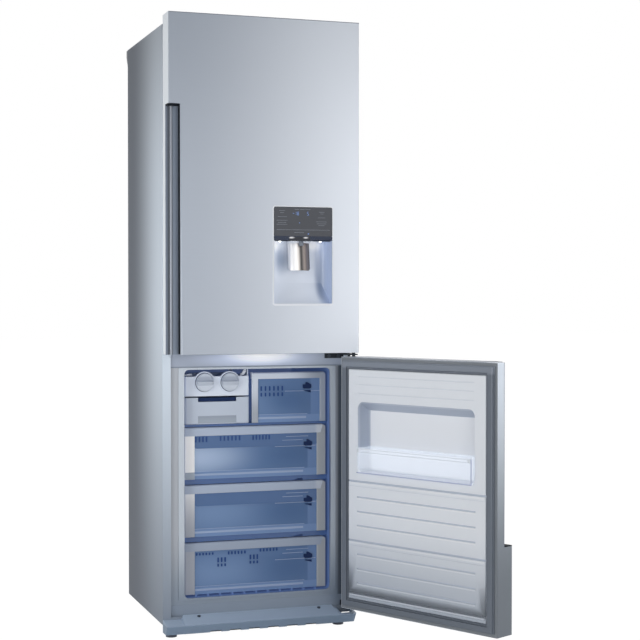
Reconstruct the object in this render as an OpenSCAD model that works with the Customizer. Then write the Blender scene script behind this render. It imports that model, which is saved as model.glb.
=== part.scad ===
// Fridge freezer: fridge above, freezer drawers below, water dispenser in the upper door.
// The origin is on the floor, under the middle of the cabinet's front face. The front looks along -Y.
// The upper door is drawn closed and the lower door open, as the object stands at rest.

/* [Cabinet] */
// Width of the cabinet and of both doors
cab_w = 595; // [560:5:640]
// Depth of the cabinet, from its front face to its back
cab_d = 498; // [490:2:540]
// Height of the cabinet's top above the floor
cab_top = 1832; // [1820:1:1900]
// Height of the cabinet's lower edge above the floor
cab_base = 41; // [40:0.5:44]
// Thickness of the steel sheet
skin = 1; // [0.8:0.1:1.4]
// Width of the cabinet's front flange
flange_w = 26; // [22:1:28]
// Height of the spacer at the top of the rear panel
spacer_h = 70; // [40:5:100]
// How far the spacer stands behind the cabinet
spacer_d = 28; // [10:1:36]

/* [Compartments] */
// Width inside both compartments
cavity_w = 462; // [450:2:470]
// Depth inside both compartments
cavity_d = 436; // [430:1:440]
// Thickness of the plastic liners
liner_t = 3; // [2:0.5:4]
// Width of the lip beside each compartment's mouth
lip_w = 18; // [12:1:20]
// Height of the lip above and below each compartment's mouth
lip_h = 6; // [4:0.5:6.5]
// How far that lip stands out of the cabinet's front
lip_out = 2.5; // [1:0.5:3]
// Height of the freezer's floor
freezer_floor = 116; // [112:1:120]
// Height of the freezer's ceiling
freezer_ceiling = 803; // [800:1:806]
// Thickness of the divider between freezer and fridge
divider_h = 87; // [85:1:97]
// Distance from the fridge's ceiling to the cabinet's top
roof_h = 60; // [52:2:72]
// Depth of the freezer's lower part, in front of the compressor
step_y = 236; // [225:1:245]
// Height of the freezer's step over the compressor
step_z = 284; // [280:1:290]
// Foam between the freezer's step and the machine compartment
step_foam = 46; // [40:1:50]
// Width of the runners and ledges on the liners' side walls
ledge_w = 10; // [8:0.5:11]
// Thickness of the runners and ledges
ledge_t = 6; // [4:0.5:7]

/* [Doors] */
// Thickness of both doors
door_t = 70; // [66:1:76]
// Gap between door and cabinet, which the gasket fills
gasket_gap = 12; // [10:0.5:14]
// How far the upper door stands above the cabinet
door_rise = 23; // [21:1:28]
// Gap between the two doors
door_split = 12; // [10:0.5:14]
// How far the lower door reaches above the freezer's ceiling
lower_over = 36; // [34:0.5:38]
// Height of the lower door's lower edge
lower_base = 71; // [70:0.5:74]
// Radius of a door's front edges
door_r = 5; // [3:0.5:8]
// Distance from the door's side to the hinge pins
pivot_side = 9; // [9:0.5:12]
// Distance from the door's front to the hinge pins
pivot_front = 25; // [24:1:28]
// Angle at which the lower door stands open
lower_open = 117; // [95:1:125]
// Width of the gaskets
gasket_w = 26; // [22:1:28]
// Width of a gasket's soft bulb
bulb_w = 16; // [12:1:18]
// Distance from a gasket's outer edge to its bulb
bulb_in = 3; // [2:0.5:4]
// Distance from the cabinet's top to the upper door's gasket
gasket_drop = 6; // [4:0.5:10]
// Thickness of a gasket's base
gasket_base = 5; // [4:0.5:6]
// Clearance between a gasket and the cabinet
gasket_clear = 0.3; // [0.2:0.1:0.5]
// Distance from the door's edge to the gasket
gasket_edge = 10; // [8:1:12]
// How far the doors' inner panels stand out behind the gasket's foot
panel_rise = 8; // [6:0.5:9]
// Depth of the pocket in the lower door's inner panel
pocket_d = 46; // [36:1:50]
// Height of the pocket's floor above the lower door's edge
pocket_rise = 421; // [380:1:460]
// Height of the pocket
pocket_h = 214; // [180:1:240]
// Height of the lower door's balcony
low_balcony_h = 76; // [60:1:90]
// Width of the steel edge that holds a door's inner panel
return_w = 14; // [11:1:16]
// Width of the liner's edge behind that steel edge
tuck_w = 6; // [4:1:8]

/* [Handle channel] */
// Width of the finger channel across the door's front
channel_w = 36; // [32:1:42]
// Depth of the finger channel
channel_d = 40; // [34:1:44]
// How far the channel undercuts the door's front
undercut = 13; // [8:1:18]
// Thickness of the door's front edge over the undercut
channel_lip = 6; // [5:0.5:8]
// Distance from the upper door's top to the channel's top
channel_stop = 267; // [200:1:350]
// Distance from the lower door's lower edge to the channel's foot
channel_start = 251; // [180:1:330]
// Wall of the handle profile
profile_t = 2; // [1.5:0.1:2.5]
// Distance from the door's side to the profile's ridge
ridge_x = 11; // [8:1:14]
// Width of the ridge
ridge_w = 9; // [6:1:10]
// Height of the ridge
ridge_h = 4; // [2:0.5:6]

/* [Hinges] */
// Radius of the hinge pins
pin_r = 5; // [4:0.25:5.5]
// Running clearance round pins and shafts
run_fit = 0.08; // [0.05:0.01:0.1]
// Length of a pin inside its door
pin_in = 14; // [10:1:16]
// Radius of the bushes in the doors
bush_r = 8.5; // [7.5:0.1:8.6]
// Depth of the pocket for the hinge arm in the upper door's top
hinge_pocket = 9; // [8:0.5:12]
// Thickness of the hinge arms
arm_t = 4; // [3:0.5:4.5]
// Width of the hinge arms
arm_w = 34; // [28:1:40]
// Thickness of the hinges' upright flanges
hinge_flange_t = 3; // [2.5:0.5:4]
// Width of the middle hinge's flange
mid_flange_w = 84; // [70:1:90]
// Length of the top hinge's foot on the cabinet
top_foot_l = 90; // [70:2:110]
// Width of the cover over the top hinge
hinge_cover_w = 62; // [58:1:70]
// Length of the cover over the top hinge
hinge_cover_l = 104; // [100:2:125]
// Height of the cover over the top hinge
hinge_cover_h = 33; // [32:1:38]
// Wall of the cover
cover_t = 2; // [1.5:0.5:2.5]
// Radius of a screw's head
screw_head_r = 5; // [4:0.5:5]
// Height of a screw's head
screw_head_h = 2.5; // [1.5:0.5:2.5]
// Radius of a screw's shank
screw_r = 2; // [1.5:0.25:2.25]
// Length of a screw's shank
screw_l = 9; // [7:0.5:9]
// Clearance round a screw's shank
screw_clear = 0.3; // [0.2:0.1:0.5]

/* [Base] */
// Thickness of the base plate
base_t = 2; // [1.5:0.5:3]
// Height of the rail below the freezer's mouth
rail_h = 57; // [52:1:60]
// How far the kick plate stands out in front
kick_d = 62; // [50:1:70]
// Height of the kick plate's lower edge
kick_low = 19; // [16:1:22]
// How far the kick plate's front leans back to its lower edge
kick_lean = 20; // [10:1:26]
// Height of the kick plate's front edge
kick_nose = 48; // [44:1:50]
// Height of the kick plate's ends at the cabinet
kick_end = 57; // [54:0.5:59]
// Height of the kick plate's middle at the cabinet
kick_mid = 67; // [64:0.5:68]
// Length of the kick plate's raised middle
kick_mid_l = 470; // [440:2:480]
// Distance from the cabinet's front to the kick plate's screws
kick_screw_y = 14; // [12:1:20]
// Wall of the kick plate
kick_t = 2.5; // [2:0.5:3]
// Distance between the kick plate's screws
kick_screw_x = 380; // [340:5:400]
// Number of slots in the kick plate
kick_slots = 6; // [4:1:8]
// Distance between the slots in the kick plate
kick_slot_pitch = 60; // [45:1:70]
// Distance from the kick plate's middle to the middle of its slots
kick_slot_x = 5; // [-20:1:20]
// Length of a slot in the kick plate
kick_slot_l = 34; // [20:1:40]
// Height of a slot in the kick plate
kick_slot_h = 5; // [4:0.5:8]
// Distance between the feet
foot_x = 532; // [480:4:540]
// Distance from the cabinet's front to the feet
foot_y = 23; // [20:1:40]
// Radius of a foot's pad
foot_r = 17; // [14:0.5:19]
// Thickness of a foot's pad
foot_t = 10; // [8:0.5:12]
// Radius of a foot's stem
foot_stem_r = 5; // [4:0.5:6]
// Length of a foot's stem above its pad
foot_stem_l = 48; // [44:1:52]
// Radius of the nuts that hold the feet
nut_r = 11; // [9:0.5:13]
// Radius of the rear rollers
roller_r = 20; // [18:0.5:21]
// Width of the rear rollers
roller_w = 22; // [18:1:26]
// Distance between the rear rollers
roller_x = 480; // [400:10:500]
// Distance from the cabinet's back to the rollers
roller_back = 45; // [35:1:60]
// Radius of the roller axles
axle_r = 4; // [3:0.25:5]
// Thickness of the ears that hold the axles
ear_t = 3; // [2:0.5:4]
// Side clearance of a roller between its ears
roller_gap = 1; // [0.5:0.1:1.5]

/* [Cooling] */
// Radius of the compressor
comp_r = 78; // [70:1:84]
// Height of the compressor
comp_h = 132; // [120:1:132]
// Wall of the compressor
comp_t = 4; // [3:0.5:6]
// Radius of the motor inside the compressor
comp_motor_r = 45; // [35:1:55]
// Height of the motor inside the compressor
comp_motor_h = 80; // [60:1:90]
// Width of the compressor's foot plate
comp_foot_w = 200; // [180:2:210]
// Depth of the compressor's foot plate
comp_foot_d = 140; // [130:2:150]
// Thickness of the compressor's foot plate
comp_foot_t = 3; // [2:0.5:4]
// Radius of the rubber mounts
grommet_r = 10; // [8:0.5:12]
// Height of the rubber mounts
grommet_h = 12; // [10:1:14]
// Depth of the drain tray
tray_h = 24; // [16:1:24]
// Wall of the drain tray
tray_t = 2; // [1.5:0.5:3]
// Number of cooling slots at each side of the machine cover's middle
grille_side = 8; // [5:1:9]
// Distance between cooling slots
grille_pitch = 24; // [20:1:27]
// Width of a cooling slot
grille_w = 8; // [5:0.5:12]
// Height of a cooling slot
grille_h = 40; // [30:1:45]
// Distance from the cabinet's side to the mains cord's gland
gland_in = 60; // [40:1:80]
// Height of the gland above the base
gland_rise = 70; // [50:1:90]
// Radius of the gland's neck
gland_r = 7; // [6:0.5:9]
// Space behind the evaporator cover
evap_space = 50; // [46:1:54]
// Thickness of the evaporator cover
evap_cover_t = 4; // [3:0.5:5]
// Number of fins on the evaporator
fin_count = 15; // [9:1:19]
// Distance between the fins
fin_pitch = 25; // [18:1:26]
// Thickness of a fin
fin_t = 2; // [1:0.5:3]
// Height of the evaporator
evap_h = 170; // [120:5:190]
// Height of the evaporator above the freezer's step
evap_rise = 90; // [70:5:110]
// Distance from the freezer's ceiling to the fan's centre
fan_drop = 100; // [90:1:120]
// Radius of the evaporator's tubes
tube_r = 4; // [3:0.5:5]
// Radius of the fan
fan_r = 58; // [45:1:65]
// Depth of the fan
fan_d = 14; // [10:1:18]
// Radius of the fan's hub
fan_hub_r = 18; // [14:1:22]
// Number of the fan's blades
fan_blades = 5; // [3:1:7]
// Radius of the fan's shaft
fan_shaft_r = 3; // [2.5:0.25:4]
// Radius of the fan's motor
motor_r = 24; // [20:1:30]
// Depth of the fan's motor
motor_d = 8; // [6:1:10]
// Width of the vents in the evaporator cover
vent_w = 5; // [4:0.5:6]
// Height of the vents in the evaporator cover
vent_h = 13; // [8:1:16]
// Distance from a drawer's side to the first group of vents
vent_in = 54.5; // [40:0.5:60]
// Distance between two groups of vents
vent_step = 98; // [80:1:100]
// Width of the fridge's air duct
duct_w = 150; // [100:5:200]
// Depth of the fridge's air duct
duct_d = 24; // [18:1:28]

/* [Fridge inside] */
// Number of shelves above the crisper's lid
shelf_count = 3; // [2:1:4]
// Height of the space over the highest shelf
top_space = 161; // [120:1:190]
// Thickness of the shelves' glass
glass_t = 4; // [4:0.5:6]
// Height of a shelf's front trim
trim_h = 14; // [10:1:16]
// Depth of a shelf's front trim
trim_d = 12; // [8:1:16]
// Side clearance of shelves and drawers' shelf
shelf_clear = 0.5; // [0.3:0.1:1]
// Height of the crisper drawer
crisper_h = 178; // [150:1:185]
// Wall of the crisper and of the balconies
tub_t = 2.5; // [2:0.25:3.5]
// Clearance between sliding pieces
slide_gap = 0.3; // [0.2:0.1:0.5]
// Length of the crisper drawer
crisper_l = 290; // [250:5:300]

/* [Upper door inside] */
// Distance between the outer faces of the door's two upright rims
rim_span = 424; // [400:2:426]
// Thickness of the door's upright rims
rim_t = 16; // [12:1:20]
// How far the rims and balconies reach into the fridge
door_reach = 78; // [60:1:80]
// Height of a balcony, as a part of the height over the water tank
balcony_part = 0.2; // [0.15:0.01:0.22]
// Place of the middle balcony in that height
balcony_mid_part = 0.25; // [0.22:0.01:0.35]
// Place of the highest balcony in that height
balcony_high_part = 0.67; // [0.6:0.01:0.72]
// Gap between the lowest balcony and the water tank
balcony_gap = 22; // [15:1:30]
// How far the water tank's floor lies below its outlet
tank_under = 15; // [12:0.5:20]
// Height of the water tank
tank_h = 126; // [110:1:140]
// Width of the tank's lid
tank_lid_w = 130; // [100:2:160]
// Depth of the tank's lid
tank_lid_d = 56; // [50:1:58]
// Radius of the lid's hinge pin
lid_pin_r = 2.5; // [2:0.25:3]

/* [Dispenser] */
// Distance from the door's middle to the dispenser's middle
disp_x = 117; // [90:1:130]
// Width of the dispenser
disp_w = 192; // [170:2:200]
// Height of the dispenser's lower edge above the door's
disp_rise = 144; // [130:1:160]
// Height of the dispenser
disp_h = 300; // [290:1:310]
// Height of the control panel
control_h = 102; // [92:1:106]
// Width of the bright edge round the dispenser
bezel_w = 3; // [2:0.5:5]
// How far the edge stands out of the door
bezel_t = 1.5; // [1:0.5:2.5]
// Depth of the dispenser housing
disp_d = 60; // [54:1:62]
// Wall of the dispenser housing
disp_t = 3; // [2:0.5:4]
// Radius of the recess's rear corners
recess_r = 32; // [20:1:45]
// Radius of the curve that brings the recess's back forward
recess_curve = 112; // [90:1:140]
// Height of that curve
recess_curve_h = 91; // [60:1:95]
// Width of the paddle
paddle_w = 68; // [56:1:74]
// Length of the paddle below the housing's ceiling
paddle_l = 92; // [80:1:96]
// Width of the arm that carries the paddle
paddle_arm_w = 36; // [28:1:40]
// Thickness of the paddle
paddle_t = 2; // [1.5:0.25:3]
// Radius of the paddle's curved face
paddle_r = 44; // [40:1:60]
// Angle at which the paddle leans towards the user
paddle_lean = 7; // [6:0.5:9]
// Radius of the paddle's pivot pin
paddle_pin_r = 3; // [2.5:0.25:3.5]
// Space between the paddle and the collar in front of it
collar_gap = 5; // [4:0.5:6]
// Thickness of the collar
collar_t = 4; // [3:0.5:5]
// Height of the collar below the housing's ceiling
collar_h = 10; // [6:0.5:14]
// Radius of the nozzle's spout
spout_r = 7; // [6:0.5:8]
// Radius of the nozzle's bore
spout_bore = 4; // [3:0.25:4.5]

/* [Freezer drawers] */
// Height of a large drawer's front
drawer_h = 157; // [152:0.5:158]
// Gap between the fronts of two large drawers
drawer_gap = 17.5; // [16:0.5:18]
// Gap between the freezer's floor and the lowest drawer
floor_gap = 5; // [4:0.5:6]
// Distance from the cabinet's front to the drawers' fronts
drawer_front = 20; // [16:1:22]
// Side gap between a drawer's front and the liner
side_gap = 6.5; // [5.5:0.5:7]
// Height of a drawer's top bar
bar_h = 26; // [22:1:28]
// Depth of a drawer's top bar
bar_d = 16; // [10:1:20]
// Width of a large drawer's side bars
side_bar_w = 31; // [24:1:34]
// Thickness of the side bars
frame_t = 6; // [4:0.5:8]
// Wall of a drawer's tub
drawer_t = 2.5; // [2:0.25:3.5]
// Height of a tub's rim below the top of the drawer's front
rim_drop = 30; // [28:1:34]
// Thickness of a tub's rim
rim_h = 3; // [2:0.5:4]
// Width of a tub's rim
rim_w = 8; // [7:0.5:9]
// Thickness of the shelves under the drawers
shelf_t = 5; // [4:0.5:6]
// Gap between the large drawers and the shelf above them
shelf_gap = 4; // [2:0.5:5]
// Distance between the ribs on the freezer's floor
rib_pitch = 38; // [25:1:60]
// Width of the ribs on the freezer's floor
rib_w = 6; // [3:0.5:10]
// Gap between the small drawer and the freezer's ceiling
top_gap = 13; // [10:0.5:16]
// Height of the small drawer's top bar
small_bar_h = 19; // [15:1:22]
// Width of the small drawer's left bar
small_bar_l = 20; // [14:1:22]
// Width of the small drawer's right bar
small_bar_r = 14; // [10:1:18]

/* [Ice maker] */
// Width of the ice maker
ice_w = 202; // [196:1:210]
// Gap between the ice maker and the small drawer
ice_gap = 9; // [7:0.5:12]
// Length of the ice maker
ice_l = 228; // [200:2:240]
// Distance from the freezer's ceiling to the knobs' centres
knob_drop = 40; // [38:0.5:42]
// Radius of the knobs
knob_r = 28; // [24:0.5:30]
// Thickness of the knobs' discs
knob_t = 7; // [5:0.5:8]
// Height of the grip across a knob
grip_h = 7; // [5:0.5:8]
// Width of the grip across a knob
grip_w = 9; // [6:0.5:12]
// Distance between the knobs
knob_pitch = 79; // [77:0.5:82]
// Height of the housing above its knobs' centres
house_up = 18; // [14:1:22]
// Height of the housing below its knobs' centres
house_down = 42; // [40:0.5:43]
// Wall of the ice maker
ice_t = 3; // [2:0.5:4]
// Half the width of an ice tray
ice_tray_half = 32; // [28:0.5:33]
// Height of an ice tray below its axis
ice_tray_down = 19; // [15:0.5:20]
// Height of an ice tray above its axis
ice_tray_up = 5; // [3:0.5:6]
// Number of ice cubes along a tray
cube_count = 6; // [4:1:8]
// Radius of the trays' journals
journal_r = 5; // [4:0.25:6]
// Width of the notch in the ice bin's front
notch_w = 120; // [90:2:140]
// Depth of the notch in the ice bin's front
notch_h = 12; // [8:1:16]

/* [Hidden] */
$fn = 48;
// Extra length of a cut past the surface that it opens
e = 1;
half_w = cab_w / 2;
half_c = cavity_w / 2;
liner_x = [-half_c - liner_t, half_c + liner_t];
door_back = -gasket_gap;
door_front = door_back - door_t;
pivot = [half_w - pivot_side, door_front + pivot_front];
fridge_floor = freezer_ceiling + divider_h;
fridge_ceiling = cab_top - roof_h;
door_top = cab_top + door_rise;
lower_top = freezer_ceiling + lower_over;
upper_base = lower_top + door_split;
channel_top = door_top - channel_stop;
channel_foot = lower_base + channel_start;
strip_low = freezer_ceiling + lip_h;
strip_high = fridge_floor - lip_h;
base_top = cab_base + base_t;
niche_y = step_y + liner_t + step_foam;
niche_top = step_z - step_foam;
cover_y = cavity_d - evap_space;
pitch = drawer_h + drawer_gap;
drawer_z = [for (i = [0:2]) freezer_floor + floor_gap + i * pitch];
drawer_half = half_c - side_gap;
tub_half = drawer_half - side_bar_w / 5;
tub_front = drawer_front + frame_t;
tub_gap = 6;
drawer_back = cover_y - tub_gap;
low_drawer_back = step_y - tub_gap;
row_z = drawer_z[2] + drawer_h + shelf_gap + shelf_t + slide_gap;
shelf_z = [for (z = [drawer_z[1], drawer_z[2], row_z]) z - slide_gap - shelf_t];
ice_x0 = -drawer_half;
ice_x1 = ice_x0 + ice_w;
small_x0 = ice_x1 + ice_gap;
small_x1 = drawer_half;
small_top = freezer_ceiling - top_gap;
knob_z = freezer_ceiling - knob_drop;
rib_count = floor(cavity_w / rib_pitch / 2);
knob_x = [for (s = [-1, 1]) (ice_x0 + ice_x1) / 2 + s * knob_pitch / 2];
ice_y0 = drawer_front + 2;
ice_y1 = ice_y0 + ice_l;
house_low = knob_z - house_down;
bin_top = house_low - 4;
crisper_lid_z = fridge_floor + crisper_h + 12;
shelf_pitch = (fridge_ceiling - crisper_lid_z - top_space) / shelf_count;
shelf_front = door_reach + 14;
shelf_back = cavity_d - duct_d - 4;
crisper_front = shelf_front + 16;
disp_z = upper_base + disp_rise;
disp_x0 = disp_x - disp_w / 2;
disp_x1 = disp_x + disp_w / 2;
disp_top = disp_z + disp_h;
control_z = disp_top - control_h;
recess_x = [disp_x0 + bezel_w + disp_t, disp_x1 - bezel_w - disp_t];
recess_z = [disp_z + bezel_w + disp_t, control_z - 1];
recess_back = door_front + disp_d - disp_t;
paddle_pivot = [door_front + disp_d - 18, control_z + 14];
paddle_bow = 8;
spout_y = paddle_pivot[0] - paddle_bow - collar_gap - collar_t - spout_r + 1;
pipe_z = paddle_pivot[1] + paddle_pin_r + 11;
channel_x = -half_w + channel_w;
channel_y = door_front + channel_d;
roller_y = cab_d - roller_back;
tank_half = rim_span / 2 - rim_t - slide_gap;
tank_z = pipe_z - tank_under;
tank_top = tank_z + tank_h;
over_tank = fridge_ceiling - tank_top;
balcony_h = over_tank * balcony_part;
balcony_low = tank_z - balcony_gap - balcony_h;
balcony_mid = tank_top + over_tank * balcony_mid_part;
balcony_high = tank_top + over_tank * balcony_high_part;
lid_y = door_back + panel_rise + 8;

// The two ends of a length that goes from a before to b after the place c
function span(c, a, b) = [c - a, c + b];

// A block between two values on each axis
module block(x, y, z) translate([x[0], y[0], z[0]]) cube([x[1] - x[0], y[1] - y[0], z[1] - z[0]]);

// A cylinder along Y from y0 to y1
module rod_y(x, z, r, y) translate([x, y[1], z]) rotate([90, 0, 0]) cylinder(r = r, h = y[1] - y[0]);

// A cylinder along X from x0 to x1
module rod_x(y, z, r, x) translate([x[0], y, z]) rotate([0, 90, 0]) cylinder(r = r, h = x[1] - x[0]);

// A cylinder along Z from z0 to z1
module rod_z(x, y, r, z) translate([x, y, z[0]]) cylinder(r = r, h = z[1] - z[0]);

// A rectangle with round corners, from the origin
module round_rect(w, h, r) {
    translate([r, 0]) square([w - 2 * r, h]);
    translate([0, r]) square([w, h - 2 * r]);
    for (x = [r, w - r], y = [r, h - r]) translate([x, y]) circle(r);
}

// A slab with round corners in the XZ plane
module round_slab(x, y, z, r)
    translate([x[0], y[1], z[0]]) rotate([90, 0, 0])
        linear_extrude(y[1] - y[0]) round_rect(x[1] - x[0], z[1] - z[0], r);

// A rectangular ring in the XZ plane, w wide, inside the given outline
module ring(x, y, z, w) difference() {
    block(x, y, z);
    block([x[0] + w, x[1] - w], [y[0] - e, y[1] + e], [z[0] + w, z[1] - w]);
}

// An open tub: outer size, with wall t and floor t
module tub(x, y, z, t) difference() {
    block(x, y, z);
    block([x[0] + t, x[1] - t], [y[0] + t, y[1] - t], [z[0] + t, z[1] + e]);
}

// A piece of the lower door, turned from closed to open
module open_lower() translate(pivot) rotate(lower_open) translate(-pivot) children();

module cabinet_shell() color("lightsteelblue") difference() {
    block([-half_w, half_w], [0, cab_d], [cab_base, cab_top]);
    block([-half_w + skin, half_w - skin], [skin, cab_d + e], [cab_base - e, cab_top - skin]);
    block([-half_w + flange_w, half_w - flange_w], [-e, skin + e], [cab_base - e, cab_top - flange_w]);
    for (x = top_screw_x) rod_z(x, top_screw_y, screw_r + screw_clear, [cab_top - skin - e, cab_top + e]);
    for (x = low_screw_x) rod_y(x, low_screw_z, screw_r + screw_clear, [-e, skin + e]);
}

// Flange and lip of a liner round its mouth, before the compartment is cut out
module liner_mouth(z, z_flange) {
    tuck = half_w - flange_w + tuck_w;
    block([-tuck, tuck], [skin, skin + liner_t], z_flange);
    block([-half_c - lip_w, half_c + lip_w], [-lip_out, skin + liner_t], [z[0] - lip_h, z[1] + lip_h]);
}

// A pair of ledges on a liner's side walls, with their upper faces at z
module ledges(z, y) for (s = [-1, 1])
    block(s < 0 ? [-half_c - e, -half_c + ledge_w] : [half_c - ledge_w, half_c + e], y, [z - ledge_t, z]);

module fridge_liner() color("whitesmoke") {
    z = [fridge_floor, fridge_ceiling];
    difference() {
        union() {
            liner_mouth(z, [strip_high - tuck_w, cab_top - flange_w + tuck_w]);
            block(liner_x, [skin, cavity_d + liner_t], [z[0] - liner_t, z[1] + liner_t]);
        }
        block([-half_c, half_c], [-lip_out - e, cavity_d], z);
    }
    for (i = [0:shelf_count])
        ledges(crisper_lid_z + i * shelf_pitch, [shelf_front + trim_d, shelf_back]);
}

module freezer_liner() color("whitesmoke") {
    z = [freezer_floor, freezer_ceiling];
    difference() {
        union() {
            liner_mouth(z, [cab_base + rail_h - tuck_w, strip_low + tuck_w]);
            block(liner_x, [skin, step_y + liner_t], [z[0] - liner_t, z[1] + liner_t]);
            block(liner_x, [skin, cavity_d + liner_t], [step_z - liner_t, z[1] + liner_t]);
        }
        block([-half_c, half_c], [-lip_out - e, step_y], z);
        block([-half_c, half_c], [-lip_out - e, cavity_d], [step_z, z[1]]);
    }
    for (zs = shelf_z) ledges(zs, [tub_front + bar_d + 2, drawer_back]);
    for (i = [-rib_count:rib_count])
        block([i * rib_pitch - rib_w / 2, i * rib_pitch + rib_w / 2], [drawer_front, low_drawer_back],
            [freezer_floor - e, drawer_z[0] - slide_gap]);
}

module mid_strip() color("silver") difference() {
    block([-half_w + flange_w, half_w - flange_w], [0, skin], [strip_low, strip_high]);
    for (x = mid_screw_x) rod_y(x, mid_screw_z, screw_r + screw_clear, [-e, skin + e]);
}

module back_panel() color("gray") {
    x = [-half_w + skin, half_w - skin];
    block(x, [cab_d - skin, cab_d], [niche_top, cab_top - skin]);
    block(x, [niche_y, cab_d], [niche_top, niche_top + skin]);
    block(x, [niche_y, niche_y + skin], [base_top, niche_top + skin]);
    block(x, [cab_d, cab_d + spacer_d], [cab_top - skin - spacer_h, cab_top - skin]);
}

// Screws of the hinges: top from above, middle and bottom from the front
top_screw_x = [half_w - 44, half_w - 24];
top_screw_y = top_foot_l - 14;
arm_x = [half_w - arm_w, half_w];
arm_y0 = pivot[1] - pin_r - 7;
top_arm_x = [pivot[0] - 12, half_w - 6];
pocket_floor = door_top - hinge_pocket;
top_arm_z = door_top - 1 - arm_t;
mid_z = (lower_top + upper_base - arm_t) / 2;
mid_screw_x = [half_w - mid_flange_w + 14, half_w - mid_flange_w + 44];
mid_screw_z = mid_z - 4;
low_arm_z = lower_base - arm_t - 2;
low_screw_x = [half_w - 20, half_w - 8];
low_screw_z = low_arm_z + arm_t + 6;

module top_hinge() color("dimgray") {
    difference() {
        block([half_w - 54, top_arm_x[1]], [4, top_foot_l], [cab_top, cab_top + hinge_flange_t]);
        for (x = top_screw_x)
            rod_z(x, top_screw_y, screw_r + screw_clear, [cab_top - e, cab_top + hinge_flange_t + e]);
    }
    block(top_arm_x, [4, 4 + hinge_flange_t], [cab_top, top_arm_z + arm_t]);
    block(top_arm_x, [arm_y0, 4 + hinge_flange_t], [top_arm_z, top_arm_z + arm_t]);
    rod_z(pivot[0], pivot[1], pin_r, [pocket_floor - pin_in, top_arm_z + arm_t]);
}

module mid_hinge() color("dimgray") {
    block(arm_x, [arm_y0, 0], [mid_z, mid_z + arm_t]);
    difference() {
        block([half_w - mid_flange_w, half_w], [-hinge_flange_t, 0], [mid_z - 11, mid_z + arm_t]);
        for (x = mid_screw_x) rod_y(x, mid_screw_z, screw_r + screw_clear, [-hinge_flange_t - e, e]);
    }
    rod_z(pivot[0], pivot[1], pin_r, [lower_top - pin_in, upper_base + pin_in]);
}

module bottom_hinge() color("dimgray") {
    block(arm_x, [arm_y0, 0], [low_arm_z, low_arm_z + arm_t]);
    difference() {
        block(arm_x, [-hinge_flange_t, 0], [low_arm_z, low_arm_z + arm_t + 11]);
        for (x = low_screw_x) rod_y(x, low_screw_z, screw_r + screw_clear, [-hinge_flange_t - e, e]);
    }
    rod_z(pivot[0], pivot[1], pin_r, [low_arm_z, lower_base + pin_in]);
}

module hinge_cover() color("gray") difference() {
    x = [half_w - hinge_cover_w, half_w];
    block(x, [1, hinge_cover_l], [cab_top, cab_top + hinge_cover_h]);
    block([x[0] + cover_t, x[1] - cover_t], [1 + cover_t, hinge_cover_l - cover_t],
        [cab_top - e, cab_top + hinge_cover_h - cover_t]);
    block([top_arm_x[0] - 1, x[1] - cover_t], [0, 1 + cover_t + e],
        [cab_top - e, cab_top + hinge_cover_h - cover_t]);
}

// One screw along Z with the underside of its head at the origin
module screw() {
    cylinder(r = screw_head_r, h = screw_head_h);
    translate([0, 0, -screw_l]) cylinder(r = screw_r, h = screw_l);
}

module screws() color("dimgray") {
    for (x = top_screw_x) translate([x, top_screw_y, cab_top + hinge_flange_t]) screw();
    for (x = mid_screw_x) translate([x, -hinge_flange_t, mid_screw_z]) rotate([90, 0, 0]) screw();
    for (x = low_screw_x) translate([x, -hinge_flange_t, low_screw_z]) rotate([90, 0, 0]) screw();
    kick_screws() screw();
    for (s = [-1, 1], z = back_screw_z)
        translate([s * (half_w - 20), cab_d, z]) rotate([-90, 0, 0]) screw();
}

// Outline of the kick plate in the YZ plane, drawn forwards and upwards
module kick_outline(top, low) {
    lean = kick_lean * (kick_nose - low) / (kick_nose - kick_low);
    polygon([[0, top], [kick_d, kick_nose], [kick_d - lean, low], [0, low]]);
}

// The kick plate's inside, under its top and behind its front
module kick_inside(top) intersection() {
    translate([-e, -kick_t]) kick_outline(top, kick_low - e);
    translate([-kick_t * 1.2, 0]) kick_outline(top, kick_low - e);
}

// A length of an outline of the kick plate between two places along X
module along_kick(x) translate([x[1], 0, 0]) rotate([90, 0, -90]) linear_extrude(x[1] - x[0]) children();

// Where the kick plate's two screws go, square to its sloping top
module kick_screws() for (s = [-1, 1])
    translate([s * kick_screw_x / 2, -kick_screw_y, kick_mid - kick_screw_y * (kick_mid - kick_nose) / kick_d])
        rotate([atan((kick_mid - kick_nose) / kick_d), 0, 0]) children();

module kick_plate() color("lightslategray") difference() {
    ends = [-half_w, half_w];
    mid = [-kick_mid_l / 2, kick_mid_l / 2];
    union() {
        along_kick(ends) kick_outline(kick_end, kick_low);
        along_kick(mid) kick_outline(kick_mid, kick_low);
    }
    along_kick(ends + [kick_t, -kick_t]) kick_inside(kick_end);
    along_kick(mid + [kick_t, -kick_t]) kick_inside(kick_mid);
    for (i = [0:kick_slots - 1]) {
        x = kick_slot_x + (i - (kick_slots - 1) / 2) * kick_slot_pitch;
        block([x - kick_slot_l / 2, x + kick_slot_l / 2], [-kick_d, -kick_d + kick_lean + kick_t + e],
            [kick_low - e, kick_low + kick_slot_h]);
    }
    block([half_w - 46, half_w - 8], [-kick_d + 14, -4], [kick_low + 20, kick_mid]);
    kick_screws() translate([0, 0, -screw_l]) cylinder(r = screw_r + screw_clear, h = screw_l + e);
}

// Two ears that hold a roller's axle
module ears(x) for (s = [-1, 1]) {
    x0 = x + s * (roller_w / 2 + roller_gap + ear_t / 2);
    difference() {
        block([x0 - ear_t / 2, x0 + ear_t / 2], [roller_y - 14, roller_y + 14], [roller_r - 10, base_top]);
        rod_x(roller_y, roller_r, axle_r + run_fit, [x0 - ear_t, x0 + ear_t]);
    }
}

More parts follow.
